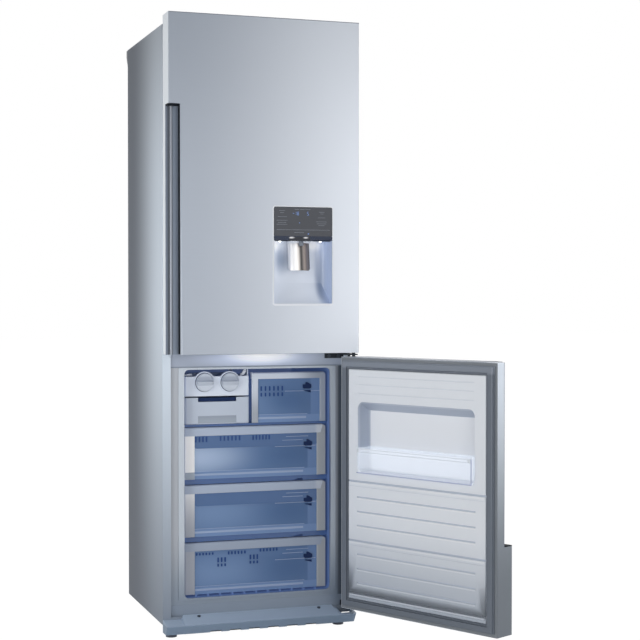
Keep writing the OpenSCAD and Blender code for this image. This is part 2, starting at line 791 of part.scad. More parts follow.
module base_frame() color("silver") {
    x = half_w - skin;
    difference() {
        union() {
            block([-x, x], [skin, cab_d - 4], [cab_base, base_top]);
            block([-half_w + flange_w, half_w - flange_w], [0, skin], [cab_base, cab_base + rail_h]);
            for (s = [-1, 1]) {
                rod_z(s * foot_x / 2, foot_y, nut_r, [foot_t + 12, cab_base + e / 2]);
                block([s * kick_screw_x / 2 - 14, s * kick_screw_x / 2 + 14], [-kick_screw_y - 8, skin],
                    [kick_nose + 4, kick_nose + 7]);
            }
        }
        for (s = [-1, 1]) rod_z(s * foot_x / 2, foot_y, foot_stem_r + run_fit, [0, base_top + e]);
        kick_screws() translate([0, 0, -screw_l - 6]) cylinder(r = screw_r + screw_clear, h = screw_l + 6);
    }
    for (s = [-1, 1]) ears(s * roller_x / 2);
}

module foot(s) color("dimgray") translate([s * foot_x / 2, foot_y, 0]) {
    cylinder(r = foot_r, h = foot_t);
    cylinder(r = foot_stem_r, h = foot_t + foot_stem_l);
}

module foot_left() foot(-1);
module foot_right() foot(1);

module roller(s) color("dimgray") difference() {
    x = s * roller_x / 2;
    rod_x(roller_y, roller_r, roller_r, [x - roller_w / 2, x + roller_w / 2]);
    rod_x(roller_y, roller_r, axle_r + run_fit, [x - roller_w, x + roller_w]);
}

module roller_left() roller(-1);
module roller_right() roller(1);

module roller_axles() color("silver") for (s = [-1, 1]) {
    x = s * roller_x / 2;
    reach = roller_w / 2 + roller_gap + ear_t + 1;
    rod_x(roller_y, roller_r, axle_r, [x - reach, x + reach]);
}

comp_c = [0, (niche_y + cab_d) / 2];
comp_z = base_top + grommet_h;
comp_top = comp_z + comp_foot_t + comp_h;

// The compressor's domed body, with its wall left out by the inset
module dome(inset) intersection() {
    rod_z(comp_c[0], comp_c[1], comp_r - inset, [comp_z + comp_foot_t + inset, comp_top - inset]);
    translate([comp_c[0], comp_c[1], comp_top - comp_r * 1.2]) sphere(r = comp_r * 1.34 - inset, $fn = 64);
}

module compressor() color("dimgray") {
    block([comp_c[0] - comp_foot_w / 2, comp_c[0] + comp_foot_w / 2],
        [comp_c[1] - comp_foot_d / 2, comp_c[1] + comp_foot_d / 2], [comp_z, comp_z + comp_foot_t]);
    difference() {
        dome(0);
        dome(comp_t);
    }
    rod_z(comp_c[0], comp_c[1], comp_motor_r, [comp_z + comp_foot_t, comp_z + comp_foot_t + comp_motor_h]);
}

module compressor_mounts() color("dimgray") for (sx = [-1, 1], sy = [-1, 1])
    rod_z(comp_c[0] + sx * (comp_foot_w / 2 - grommet_r), comp_c[1] + sy * (comp_foot_d / 2 - grommet_r),
        grommet_r, [base_top, comp_z]);

module drain_tray() color("gray")
    tub([-comp_r, comp_r], [comp_c[1] - comp_foot_d / 2, comp_c[1] + comp_foot_d / 2],
        [comp_top, comp_top + tray_h], tray_t);

cover_top = niche_top - 0.5;
gland_x = gland_in - half_w;
gland_z = base_top + gland_rise;
back_screw_z = [base_top + 20, cover_top - 20];

module machine_cover() color("gray") difference() {
    block([-half_w + skin + 0.5, half_w - skin - 0.5], [cab_d - cover_t, cab_d], [base_top + 0.5, cover_top]);
    for (i = [-grille_side:grille_side], z = [base_top + grille_h, base_top + grille_h * 2.5])
        block([i * grille_pitch - grille_w / 2, i * grille_pitch + grille_w / 2],
            [cab_d - cover_t - e, cab_d + e], [z, z + grille_h]);
    for (s = [-1, 1], z = back_screw_z)
        rod_y(s * (half_w - 20), z, screw_r + screw_clear, [cab_d - cover_t - e, cab_d + e]);
    rod_y(gland_x, gland_z, gland_r, [cab_d - cover_t - e, cab_d + e]);
}

module cord_gland() color("black") difference() {
    union() {
        rod_y(gland_x, gland_z, gland_r, [cab_d - 8, cab_d + 3]);
        rod_y(gland_x, gland_z, gland_r + 3, [cab_d, cab_d + 3]);
        rod_y(gland_x, gland_z, gland_r + 3, [cab_d - cover_t - 4, cab_d - cover_t]);
    }
    rod_y(gland_x, gland_z, gland_r / 2, [cab_d - 8 - e, cab_d + 3 + e]);
}

evap_y = [cover_y + evap_cover_t + 4, cavity_d - 4];
evap_z = [step_z + evap_rise, step_z + evap_rise + evap_h];

module evaporator() color("silver") {
    half = (fin_count - 1) / 2;
    for (i = [-half:half])
        block([i * fin_pitch - fin_t / 2, i * fin_pitch + fin_t / 2], evap_y, evap_z);
    for (y = [evap_y[0] + 10, evap_y[1] - 10], k = [0:2])
        rod_x(y, evap_z[0] + evap_h * (k + 0.5) / 3, tube_r,
            [-half * fin_pitch - fin_t, half * fin_pitch + fin_t]);
    for (s = [-1, 1]) block([s * half * fin_pitch - fin_t, s * half * fin_pitch + fin_t],
        [evap_y[0] - 4, cavity_d], evap_z);
}

fan_z = freezer_ceiling - fan_drop;
fan_y0 = cover_y + evap_cover_t + motor_d + 1;

// A row of six vents, from x rightwards, with its upper edge at z
module vents(x, z, n) for (i = [0:n - 1])
    block([x + i * vent_w * 2, x + i * vent_w * 2 + vent_w], [cover_y - e, cover_y + evap_cover_t + e],
        [z - vent_h, z]);

module evaporator_cover() color("aliceblue") {
    difference() {
        block([-half_c + slide_gap, half_c - slide_gap], [cover_y, cover_y + evap_cover_t],
            [step_z, freezer_ceiling - slide_gap]);
        for (k = [0:2], i = [1, 2])
            vents(vent_in - drawer_half + k * vent_step, drawer_z[i] + drawer_h - bar_h - 8, 6);
        for (k = [0, 1]) vents(small_x0 + small_bar_l + 6, small_top - small_bar_h - 18 - k * (vent_h + 7), 6);
    }
    rod_y(0, fan_z, motor_r, [cover_y + evap_cover_t - e / 2, cover_y + evap_cover_t + motor_d]);
    rod_y(0, fan_z, fan_shaft_r, [cover_y + evap_cover_t, fan_y0 + fan_d + 1]);
}

module evaporator_fan() color("white") difference() {
    union() {
        rod_y(0, fan_z, fan_hub_r, [fan_y0, fan_y0 + fan_d]);
        for (i = [0:fan_blades - 1]) translate([0, fan_y0 + fan_d / 2, fan_z])
            rotate([0, i * 360 / fan_blades, 0]) translate([0, 0, fan_hub_r - 3]) rotate([0, 0, 22])
                block([-fan_hub_r, fan_hub_r], [-1, 1], [0, fan_r - fan_hub_r + 3 - 6]);
    }
    rod_y(0, fan_z, fan_shaft_r + run_fit, [fan_y0 - e, fan_y0 + fan_d + e]);
}

module air_duct() color("white") {
    z = [crisper_lid_z + 20, fridge_ceiling - 20];
    difference() {
        block([-duct_w / 2, duct_w / 2], [cavity_d - duct_d, cavity_d], z);
        block([-duct_w / 2 + 3, duct_w / 2 - 3], [cavity_d - duct_d + 3, cavity_d + e], [z[0] + 3, z[1] - 3]);
        for (i = [0:shelf_count - 1], s = [-1, 1]) {
            zv = crisper_lid_z + (i + 0.55) * shelf_pitch;
            block(span(s * duct_w / 4, 20, 20), [cavity_d - duct_d - e, cavity_d - duct_d + 3 + e], [zv, zv + 10]);
        }
    }
}

module fridge_lamp() color("white")
    block([-90, 90], [shelf_front + 20, shelf_front + 56], [fridge_ceiling - 8, fridge_ceiling]);

module glass_shelves() color("lightcyan") for (i = [0:shelf_count]) {
    z = crisper_lid_z + i * shelf_pitch;
    half = half_c - shelf_clear;
    block([-half, half], [shelf_front + trim_d - e, shelf_back], [z, z + glass_t]);
    block([-half, half], [shelf_front, shelf_front + trim_d], span(z + glass_t / 2, trim_h / 2, trim_h / 2));
    block([-half, half], [shelf_back - trim_d, shelf_back], [z, z + trim_h / 2 + glass_t / 2]);
}

module crisper_drawer() color("lightcyan") {
    half = half_c - side_gap;
    z0 = fridge_floor + slide_gap;
    tub([-half, half], [crisper_front, crisper_front + crisper_l], [z0, z0 + crisper_h], tub_t);
    block([-half, half], [crisper_front - 8, crisper_front], [z0 + crisper_h - 30, z0 + crisper_h]);
}

module freezer_shelves() color("lightcyan") for (z = shelf_z) {
    half = half_c - shelf_clear;
    block([-half, half], [drawer_front + 6, drawer_back], [z, z + shelf_t]);
}

// Tub of a large drawer
module large_tub(i) color("lightskyblue", 0.5) {
    z = drawer_z[i];
    back = i == 0 ? low_drawer_back : drawer_back;
    rim_z = z + drawer_h - rim_drop;
    tub([-tub_half, tub_half], [tub_front, back], [z, rim_z + rim_h], drawer_t);
    for (x = [[-tub_half - rim_w, -tub_half + drawer_t / 2], [tub_half - drawer_t / 2, tub_half + rim_w]])
        block(x, [tub_front + bar_d, back], [rim_z, rim_z + rim_h]);
}

// Front frame of a large drawer: a bar above and one at each side
module large_frame(i) color("gainsboro") {
    z = drawer_z[i];
    top = z + drawer_h;
    difference() {
        block([-drawer_half, drawer_half], [drawer_front, tub_front + bar_d - 1], [top - bar_h, top]);
        block([-drawer_half + 2, drawer_half - 2], [drawer_front + 3, tub_front + bar_d], [top - bar_h - e, top - 3]);
    }
    for (x = [[-drawer_half, -drawer_half + side_bar_w], [drawer_half - side_bar_w, drawer_half]])
        block(x, [drawer_front, tub_front], [z, top - bar_h]);
}

module drawer_top_tub() large_tub(2);
module drawer_top_frame() large_frame(2);
module drawer_middle_tub() large_tub(1);
module drawer_middle_frame() large_frame(1);
module drawer_bottom_tub() large_tub(0);
module drawer_bottom_frame() large_frame(0);

module small_drawer_tub() color("lightskyblue", 0.5)
    tub([small_x0 + 3, small_x1 - 3], [tub_front, drawer_back], [row_z, small_top - small_bar_h], drawer_t);

module small_drawer_frame() color("gainsboro") {
    block([small_x0, small_x1], [drawer_front, tub_front], [small_top - small_bar_h, small_top]);
    block([small_x0, small_x1], [tub_front - e, tub_front + bar_d], [small_top - 3, small_top]);
    block([small_x0, small_x0 + small_bar_l], [drawer_front, tub_front], [row_z, small_top - small_bar_h]);
    block([small_x1 - small_bar_r, small_x1], [drawer_front, tub_front], [row_z, small_top - small_bar_h]);
}

module ice_housing() color("gainsboro") {
    top = knob_z + house_up;
    difference() {
        union() {
            block([ice_x0, ice_x1], [ice_y0, ice_y1], [house_low, top]);
            for (x = knob_x) rod_y(x, knob_z, knob_r + ice_t, [ice_y0, ice_y0 + ice_t]);
        }
        block([ice_x0 + ice_t, ice_x1 - ice_t], [ice_y0 + ice_t, ice_y1 - ice_t], [house_low - e, top + e]);
        for (x = knob_x) rod_y(x, knob_z, journal_r + run_fit, [ice_y0 - e, ice_y1 + e]);
    }
    block([-half_c, ice_x0 + e], [ice_y0 + 20, ice_y1 - 20], [knob_z - 4, knob_z + 4]);
    difference() {
        block([ice_x1 - ice_t, ice_x1], [ice_y0 + 10, ice_y1], [top - e, freezer_ceiling]);
        block([ice_x1 - ice_t - e, ice_x1 + e], [ice_y0 + 40, ice_y1 - 40], [top + 2, freezer_ceiling - 4]);
    }
}

// One twisting ice tray, with a journal at each end
module ice_tray(x) color("lightsteelblue") {
    y0 = ice_y0 + ice_t + 2;
    y1 = ice_y1 - ice_t - 2;
    cube_l = (y1 - y0 - 2) / cube_count;
    difference() {
        block([x - ice_tray_half, x + ice_tray_half], [y0, y1], [knob_z - ice_tray_down, knob_z + ice_tray_up]);
        for (i = [0:cube_count - 1], s = [-1, 1])
            block(s < 0 ? [x - ice_tray_half + 2, x - 1] : [x + 1, x + ice_tray_half - 2],
                [y0 + 2 + i * cube_l, y0 + (i + 1) * cube_l],
                [knob_z - ice_tray_down + 2, knob_z + ice_tray_up + e]);
    }
    rod_y(x, knob_z, journal_r, [ice_y0 - 1, y0 + 1.5]);
    rod_y(x, knob_z, journal_r, [y1 - 1.5, ice_y1 + 1]);
}

// One knob with its grip, in front of the housing
module ice_knob(x) color("gainsboro") {
    y1 = ice_y0 - 1;
    rod_y(x, knob_z, knob_r, [y1 - knob_t, y1]);
    intersection() {
        rod_y(x, knob_z, knob_r - 2, [y1 - knob_t - grip_h, y1 - knob_t + e]);
        block([x - knob_r, x + knob_r], [y1 - knob_t - grip_h, y1], [knob_z - grip_w / 2, knob_z + grip_w / 2]);
    }
}

module ice_tray_left() ice_tray(knob_x[0]);
module ice_tray_right() ice_tray(knob_x[1]);
module ice_knob_left() ice_knob(knob_x[0]);
module ice_knob_right() ice_knob(knob_x[1]);

module ice_bin() color("gainsboro") difference() {
    tub([ice_x0, ice_x1], [drawer_front, ice_y1], [row_z, bin_top], ice_t);
    notch_x = span((ice_x0 + ice_x1) / 2, notch_w / 2, notch_w / 2);
    block(notch_x, [drawer_front - e, drawer_front + ice_t + e], [bin_top - notch_h, bin_top + e]);
    block(notch_x, [drawer_front - e, drawer_front + 1], [row_z - e, row_z + 28]);
}

// Plan of a door, drawn inset from its outside, without the finger channel
module door_plan(inset, back) {
    r = door_r - inset;
    x = half_w - inset;
    y = door_front + inset;
    translate([-x, y + r]) square([2 * x, back - y - r]);
    translate([-x + r, y]) square([2 * (x - r), r + e]);
    for (s = [-1, 1]) translate([s * (x - r), y + r]) circle(r);
}

// The finger channel, grown by the inset, between two heights
module channel(inset, z) {
    block([-half_w - e, channel_x + inset], [door_front - e, channel_y + inset], z);
    block([-half_w - e, channel_x + undercut + inset], [door_front + channel_lip - inset, channel_y + inset], z);
}

// Pocket for the hinge arm in the upper door's top
module arm_pocket(inset) block([pivot[0] - 18 - inset, half_w + e], [pivot[1] - 18 - inset, door_back + e],
    [pocket_floor - inset, door_top + e]);

// A door's sheet-metal shell, closed at its front, sides, top and bottom
module door_shell(z, channel_z, bush_z) difference() {
    union() {
        difference() {
            translate([0, 0, z[0]]) linear_extrude(z[1] - z[0]) door_plan(0, door_back);
            difference() {
                translate([0, 0, z[0] + skin]) linear_extrude(z[1] - z[0] - 2 * skin)
                    door_plan(skin, door_back - skin);
                channel(skin, channel_z + [-skin, skin]);
                if (z[1] > pocket_floor) arm_pocket(skin);
            }
            block([-half_w + return_w, half_w - return_w], [door_back - skin - e, door_back + e],
                [z[0] + return_w, z[1] - return_w]);
            channel(0, channel_z);
            if (z[1] > pocket_floor) arm_pocket(0);
        }
        for (b = bush_z) rod_z(pivot[0], pivot[1], bush_r, b);
    }
    for (b = bush_z) rod_z(pivot[0], pivot[1], pin_r + run_fit, b + [-e, e] * 2);
}

module upper_door_shell() color("lightsteelblue") difference() {
    door_shell([upper_base, door_top], [upper_base - e, channel_top],
        [[upper_base, upper_base + pin_in + 4], [pocket_floor - pin_in - 4, pocket_floor]]);
    block([disp_x0 + bezel_w, disp_x1 - bezel_w] + [-1, 1] * slide_gap, [door_front - e, door_front + skin + e],
        [disp_z + bezel_w, disp_top - bezel_w] + [-1, 1] * slide_gap);
}

module lower_door_shell() color("lightsteelblue") open_lower()
    door_shell([lower_base, lower_top], [channel_foot, lower_top + e],
        [[lower_base, lower_base + pin_in + 4], [lower_top - pin_in - 4, lower_top]]);

// Inner panel of a door, raised inside the gasket; z is the gasket's span and tuck its flange's
module door_liner(z, tuck) {
    x = half_w - gasket_edge - gasket_w;
    y = door_back - skin;
    zi = z + [1, -1] * gasket_w;
    edge = half_w - return_w + tuck_w;
    difference() {
        union() {
            block([-edge, edge], [y - liner_t, y], tuck);
            block([-x, x], [y - liner_t, panel_y], zi);
        }
        block([-x + liner_t, x - liner_t], [y - liner_t - e, panel_y - liner_t], zi + [1, -1] * liner_t);
    }
}

// A door's gasket: a flat base with a soft bulb on it
module door_gasket(z) {
    x = half_w - gasket_edge;
    ring([-x, x], [door_back, door_back + gasket_base], z, gasket_w - 0.5);
    ring([-x + bulb_in, x - bulb_in], [door_back + gasket_base - e, -gasket_clear], z + [1, -1] * bulb_in, bulb_w);
}

panel_y = door_back + panel_rise;
upper_seal = [upper_base + gasket_edge, cab_top - gasket_drop];
lower_seal = [lower_base + gasket_edge, lower_top - gasket_edge];
rim_z = [crisper_lid_z + 10, fridge_ceiling - 12];

module upper_door_liner() color("whitesmoke") difference() {
    union() {
        door_liner(upper_seal, [upper_base + return_w - tuck_w, pocket_floor - skin - 0.5]);
        for (s = [-1, 1]) {
            x = s < 0 ? [-rim_span / 2, -rim_span / 2 + rim_t] : [rim_span / 2 - rim_t, rim_span / 2];
            block(x, [panel_y - e, door_reach], rim_z);
            inner = s < 0 ? [x[1] - e, x[1] + tub_t] : [x[0] - tub_t, x[0] + e];
            for (z = [balcony_low, balcony_mid, balcony_high, tank_z])
                block(inner, [panel_y - e, door_reach - 10], [z - 5, z]);
        }
    }
    for (s = [-1, 1]) {
        x = s * (rim_span - rim_t) / 2;
        block([x - rim_t / 2 + liner_t, x + rim_t / 2 - liner_t], [panel_y - liner_t - e, door_reach - liner_t],
            rim_z + [1, -1] * liner_t);
    }
    rod_y(disp_x, pipe_z, spout_r, [door_back - skin - liner_t - e, panel_y + e]);
}

module lower_door_liner() color("whitesmoke") open_lower() difference() {
    union() {
        door_liner(lower_seal, [lower_base, lower_top] + [1, -1] * (return_w - tuck_w));
        block(pocket_x + [-1, 1] * liner_t, [pocket_y - liner_t, panel_y], pocket_z + [-1, 1] * liner_t);
    }
    block(pocket_x, [pocket_y, panel_y + e], pocket_z);
}

// Pocket in the lower door's inner panel, which holds the balcony
pocket_half = half_c - 8;
pocket_x = [-pocket_half, pocket_half];
pocket_y = door_back - pocket_d;
pocket_z = [lower_base + pocket_rise, lower_base + pocket_rise + pocket_h];

module lower_door_balcony() color("lightcyan") open_lower()
    tub(pocket_x + [1, -1] * 2, [pocket_y + 1, balcony_out], [pocket_z[0], pocket_z[0] + low_balcony_h], tub_t);

// How far the lower door's balcony reaches into the freezer
balcony_out = drawer_front - 12;

module upper_door_gasket() color("dimgray") door_gasket(upper_seal);
module lower_door_gasket() color("dimgray") open_lower() door_gasket(lower_seal);

// The profile that lines the finger channel
module handle_profile(z) {
    block([-half_w, channel_x + undercut], [channel_y - profile_t, channel_y], z);
    block([channel_x + undercut - profile_t, channel_x + undercut], [door_front + channel_lip, channel_y], z);
    block([channel_x, channel_x + undercut], [door_front + channel_lip, door_front + channel_lip + profile_t], z);
    block([-half_w + ridge_x, -half_w + ridge_x + ridge_w], [channel_y - profile_t - ridge_h, channel_y], z);
}

module upper_handle() color("darkgray") handle_profile([upper_base, channel_top]);
module lower_handle() color("darkgray") open_lower() handle_profile([channel_foot, lower_top]);

// The recess for a glass, round at its rear corners and with its back coming forward at the foot
module recess(grow) {
    r = recess_r + grow;
    x = recess_x + [-1, 1] * grow;
    z = recess_z + [-1, 1] * grow;
    y = [door_front - (grow > 0 ? 0 : 4), recess_back + grow];
    mid = recess_z[0] + recess_curve_h;
    intersection() {
        translate([0, 0, z[0]]) linear_extrude(z[1] - z[0]) {
            translate([x[0], y[0]]) square([x[1] - x[0], y[1] - r - y[0]]);
            translate([x[0] + r, y[0]]) square([x[1] - x[0] - 2 * r, y[1] - y[0]]);
            for (c = [x[0] + r, x[1] - r]) translate([c, y[1] - r]) circle(r);
        }
        translate([x[0] - e, 0, 0]) rotate([90, 0, 90]) linear_extrude(x[1] - x[0] + 2 * e) {
            translate([y[0], mid]) square([y[1] - y[0], z[1] - mid]);
            intersection() {
                translate([y[0], z[0]]) square([y[1] - y[0], mid - z[0]]);
                translate([recess_back - recess_curve, mid]) circle(recess_curve + grow, $fn = 96);
            }
        }
    }
}

pin_half = paddle_w / 2 + 5;

module dispenser_housing() color("aliceblue") {
    inner = [disp_x0 + bezel_w, disp_x1 - bezel_w];
    box_z = [control_z - 1, disp_top - bezel_w];
    difference() {
        union() {
            recess(disp_t);
            block(inner, [door_front, recess_back + disp_t], box_z);
            round_slab([disp_x0, disp_x1], [door_front - bezel_t, door_front], [disp_z, disp_top], 8);
        }
        recess(0);
        block(inner + [1, -1] * disp_t, [door_front - bezel_t - e, recess_back], box_z + [disp_t, -disp_t]);
        block(inner, [door_front - bezel_t - e, door_front + 1], [control_z + 1, box_z[1]]);
        block([disp_x - paddle_w / 2 - 2, disp_x + paddle_w / 2 + 2],
            span(paddle_pivot[0], paddle_bow + 2, 14), [control_z - 2, box_z[0] + disp_t + e]);
        rod_z(disp_x, spout_y, spout_r + slide_gap, [control_z - 2, box_z[0] + disp_t + e]);
        rod_y(disp_x, pipe_z, spout_r, [recess_back - e, recess_back + disp_t + e]);
    }
    for (s = [-1, 1]) difference() {
        x = disp_x + s * (pin_half + 3);
        block([x - 2, x + 2], span(paddle_pivot[0], 7, 7), [control_z, paddle_pivot[1] + 7]);
        rod_x(paddle_pivot[0], paddle_pivot[1], paddle_pin_r + run_fit, [x - 3, x + 3]);
    }
}

module dispenser_panel() color("darkslategray")
    round_slab([disp_x0 + bezel_w, disp_x1 - bezel_w] + [1, -1] * slide_gap, span(door_front, bezel_t, 1 - slide_gap),
        [control_z + 1 + slide_gap, disp_top - bezel_w - slide_gap], 4);

module dispenser_nozzle() color("silver") {
    centre = paddle_pivot[0] - paddle_bow + paddle_r;
    top = recess_z[1];
    intersection() {
        difference() {
            rod_z(disp_x, centre, paddle_r + collar_gap + collar_t, [top - collar_h, top]);
            rod_z(disp_x, centre, paddle_r + collar_gap, [top - collar_h - e, top + e]);
        }
        block([disp_x - paddle_w / 2, disp_x + paddle_w / 2], [door_front, paddle_pivot[0] + 4], [top - collar_h, top]);
    }
    difference() {
        union() {
            rod_z(disp_x, spout_y, spout_r, [top - collar_h - 6, pipe_z + spout_r]);
            rod_y(disp_x, pipe_z, spout_r - 1, [spout_y, panel_y]);
        }
        rod_z(disp_x, spout_y, spout_bore, [top - collar_h - 6 - e, pipe_z]);
        rod_y(disp_x, pipe_z, spout_bore, [spout_y, panel_y + e]);
    }
}

module dispenser_paddle() color("silver") translate([disp_x, paddle_pivot[0], paddle_pivot[1]])
    rotate([-paddle_lean, 0, 0]) {
        drop = paddle_pivot[1] - recess_z[1];
        low = -drop - paddle_l;
        rod_x(0, 0, paddle_pin_r, [-pin_half - 4, pin_half + 4]);
        block([-paddle_arm_w / 2, paddle_arm_w / 2], [-4, 2], [-drop - 2, 0]);
        intersection() {
            difference() {
                rod_z(0, paddle_r - paddle_bow, paddle_r, [low, -drop + 3]);
                rod_z(0, paddle_r - paddle_bow, paddle_r - paddle_t, [low - e, -drop + 3 + e]);
            }
            round_slab([-paddle_w / 2, paddle_w / 2], [-20, paddle_r / 2], [low, -drop + 20], 9);
        }
    }

module water_tank() color("lightcyan", 0.6) {
    y = [panel_y + slide_gap, door_reach];
    difference() {
        tub([-tank_half, tank_half], y, [tank_z, tank_top - tub_t - slide_gap], tub_t);
        rod_y(disp_x, pipe_z, spout_bore, [y[0] - e, y[0] + tub_t + e]);
    }
    // Cover, seated on the tub, with the filling hole that the lid closes
    difference() {
        block([-tank_half, tank_half], y, [tank_top - tub_t, tank_top]);
        block([-tank_lid_w / 2 + 4, tank_lid_w / 2 - 4], [lid_y + 6, lid_y + tank_lid_d - 4],
            [tank_top - tub_t - e, tank_top + e]);
    }
    for (s = [-1, 1]) difference() {
        x = s * (tank_lid_w / 2 + 4);
        block([x - 2, x + 2], [lid_y - 4, lid_y + 4], [tank_top - e, tank_top + 2 + 2 * lid_pin_r]);
        rod_x(lid_y, tank_top + 1 + lid_pin_r, lid_pin_r + run_fit, [x - 3, x + 3]);
    }
}

module tank_lid() color("gainsboro") {
    z = tank_top + 1 + lid_pin_r;
    rod_x(lid_y, z, lid_pin_r, [-tank_lid_w / 2 - 5, tank_lid_w / 2 + 5]);
    block([-tank_lid_w / 2, tank_lid_w / 2], [lid_y, lid_y + tank_lid_d], [z - 1, z + 1.5]);
}

module door_balconies() color("lightcyan") for (z = [balcony_low, balcony_mid, balcony_high])
    tub([-tank_half, tank_half], [panel_y, door_reach], [z, z + balcony_h], tub_t);

cabinet_shell();
fridge_liner();
freezer_liner();
mid_strip();
back_panel();
top_hinge();
mid_hinge();
bottom_hinge();
hinge_cover();
screws();
kick_plate();
base_frame();
roller_axles();
compressor();
compressor_mounts();
drain_tray();
machine_cover();
cord_gland();
evaporator();
evaporator_cover();
air_duct();
fridge_lamp();
glass_shelves();
freezer_shelves();
ice_housing();
foot_left();
foot_right();
roller_left();
roller_right();
evaporator_fan();
crisper_drawer();
ice_tray_left();
ice_knob_left();
ice_tray_right();
ice_knob_right();
ice_bin();
drawer_top_tub();
drawer_top_frame();
drawer_middle_tub();
drawer_middle_frame();
drawer_bottom_tub();
drawer_bottom_frame();
small_drawer_tub();
small_drawer_frame();
upper_door_shell();
upper_door_liner();
upper_door_gasket();
upper_handle();
dispenser_housing();
dispenser_panel();
dispenser_nozzle();
dispenser_paddle();
water_tank();
tank_lid();
door_balconies();
lower_door_shell();
lower_door_liner();
lower_door_gasket();
lower_handle();
lower_door_balcony();
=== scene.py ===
"""A tall fridge freezer: its doors, liners, drawers, ice maker, dispenser and running gear.

Lengths in the classes are millimetres in the object's own frame: X to the right, Y to the back, Z up from the floor.
"""

import logging
import math
from collections.abc import Callable, Iterator, Sequence
from contextlib import contextmanager
from dataclasses import dataclass, field
from enum import Enum

import bpy
from mathutils import Matrix, Vector


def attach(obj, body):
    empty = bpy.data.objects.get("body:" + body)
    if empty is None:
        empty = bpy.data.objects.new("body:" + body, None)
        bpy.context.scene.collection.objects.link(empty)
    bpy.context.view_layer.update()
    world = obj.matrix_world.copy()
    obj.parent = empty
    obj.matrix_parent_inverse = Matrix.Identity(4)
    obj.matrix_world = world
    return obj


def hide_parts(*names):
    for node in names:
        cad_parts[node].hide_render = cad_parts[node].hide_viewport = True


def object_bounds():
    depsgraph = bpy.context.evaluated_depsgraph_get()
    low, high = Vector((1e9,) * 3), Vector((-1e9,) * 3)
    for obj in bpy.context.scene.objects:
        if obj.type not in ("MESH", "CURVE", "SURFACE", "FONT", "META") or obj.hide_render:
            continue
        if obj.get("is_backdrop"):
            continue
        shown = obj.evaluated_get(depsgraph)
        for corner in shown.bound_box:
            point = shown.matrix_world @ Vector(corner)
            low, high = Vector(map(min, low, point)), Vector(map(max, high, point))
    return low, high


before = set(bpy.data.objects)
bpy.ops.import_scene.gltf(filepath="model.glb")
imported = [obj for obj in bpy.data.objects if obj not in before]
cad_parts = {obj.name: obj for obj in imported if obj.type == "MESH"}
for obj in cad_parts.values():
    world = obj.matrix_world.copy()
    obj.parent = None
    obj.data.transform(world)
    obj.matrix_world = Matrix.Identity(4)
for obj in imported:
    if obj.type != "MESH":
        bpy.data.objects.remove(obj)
cad_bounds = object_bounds()

MM = 0.001
# The angle from which an edge stays sharp
SHARP_FROM = math.radians(32)
# How close to an axis a face's normal or an edge has to run, as a cosine
FACE_CLOSE = 0.9
EDGE_CLOSE = 0.99
# How many straight steps a pipe takes round a corner
BEND_STEPS = 5
LOG = logging.getLogger("fridge")

Point = Sequence[float]
Span = tuple[float, float]
Box = tuple[Span, Span, Span]
FaceTest = Callable[[Vector, Vector], bool]
EdgeTest = Callable[[Vector, Vector], bool]


class Axis(Enum):
    """The object's three axes."""

    X = 0
    Y = 1
    Z = 2

    @property
    def way(self) -> Vector:
        """The unit vector along this axis."""
        return Vector([1.0 if self.value == i else 0.0 for i in range(3)])


class Cut(Enum):
    """How one workpiece is combined with another."""

    AWAY = "DIFFERENCE"
    COMMON = "INTERSECT"
    TOGETHER = "UNION"


class Grain(Enum):
    """What varies over a finish: scale of the pattern along X, Y and Z."""

    SMOOTH = (6.0, 6.0, 6.0)
    MOTTLED = (40.0, 40.0, 40.0)
    BRUSHED = (8.0, 8.0, 900.0)
    FINE = (900.0, 900.0, 900.0)


# Materials


class Value:
    """A shader socket that takes part in sums as a number does."""

    def __init__(self, graph: "Graph", socket: bpy.types.NodeSocket) -> None:
        """Wraps one output socket of a graph."""
        self.graph = graph
        self.socket = socket

    def _sum(self, operation: str, first: "Value | float", second: "Value | float") -> "Value":
        """The result of one Math node."""
        node = self.graph.node("ShaderNodeMath", {"operation": operation}, {0: first, 1: second})
        return Value(self.graph, node.outputs[0])

    def __radd__(self, other: "Value | float") -> "Value":
        """Another value plus this one."""
        return self._sum("ADD", other, self)

    def __sub__(self, other: "Value | float") -> "Value":
        """This value less another."""
        return self._sum("SUBTRACT", self, other)

    def __mul__(self, other: "Value | float") -> "Value":
        """This value times another."""
        return self._sum("MULTIPLY", self, other)

    def either(self, other: "Value | float") -> "Value":
        """The greater of this value and another."""
        return self._sum("MAXIMUM", self, other)


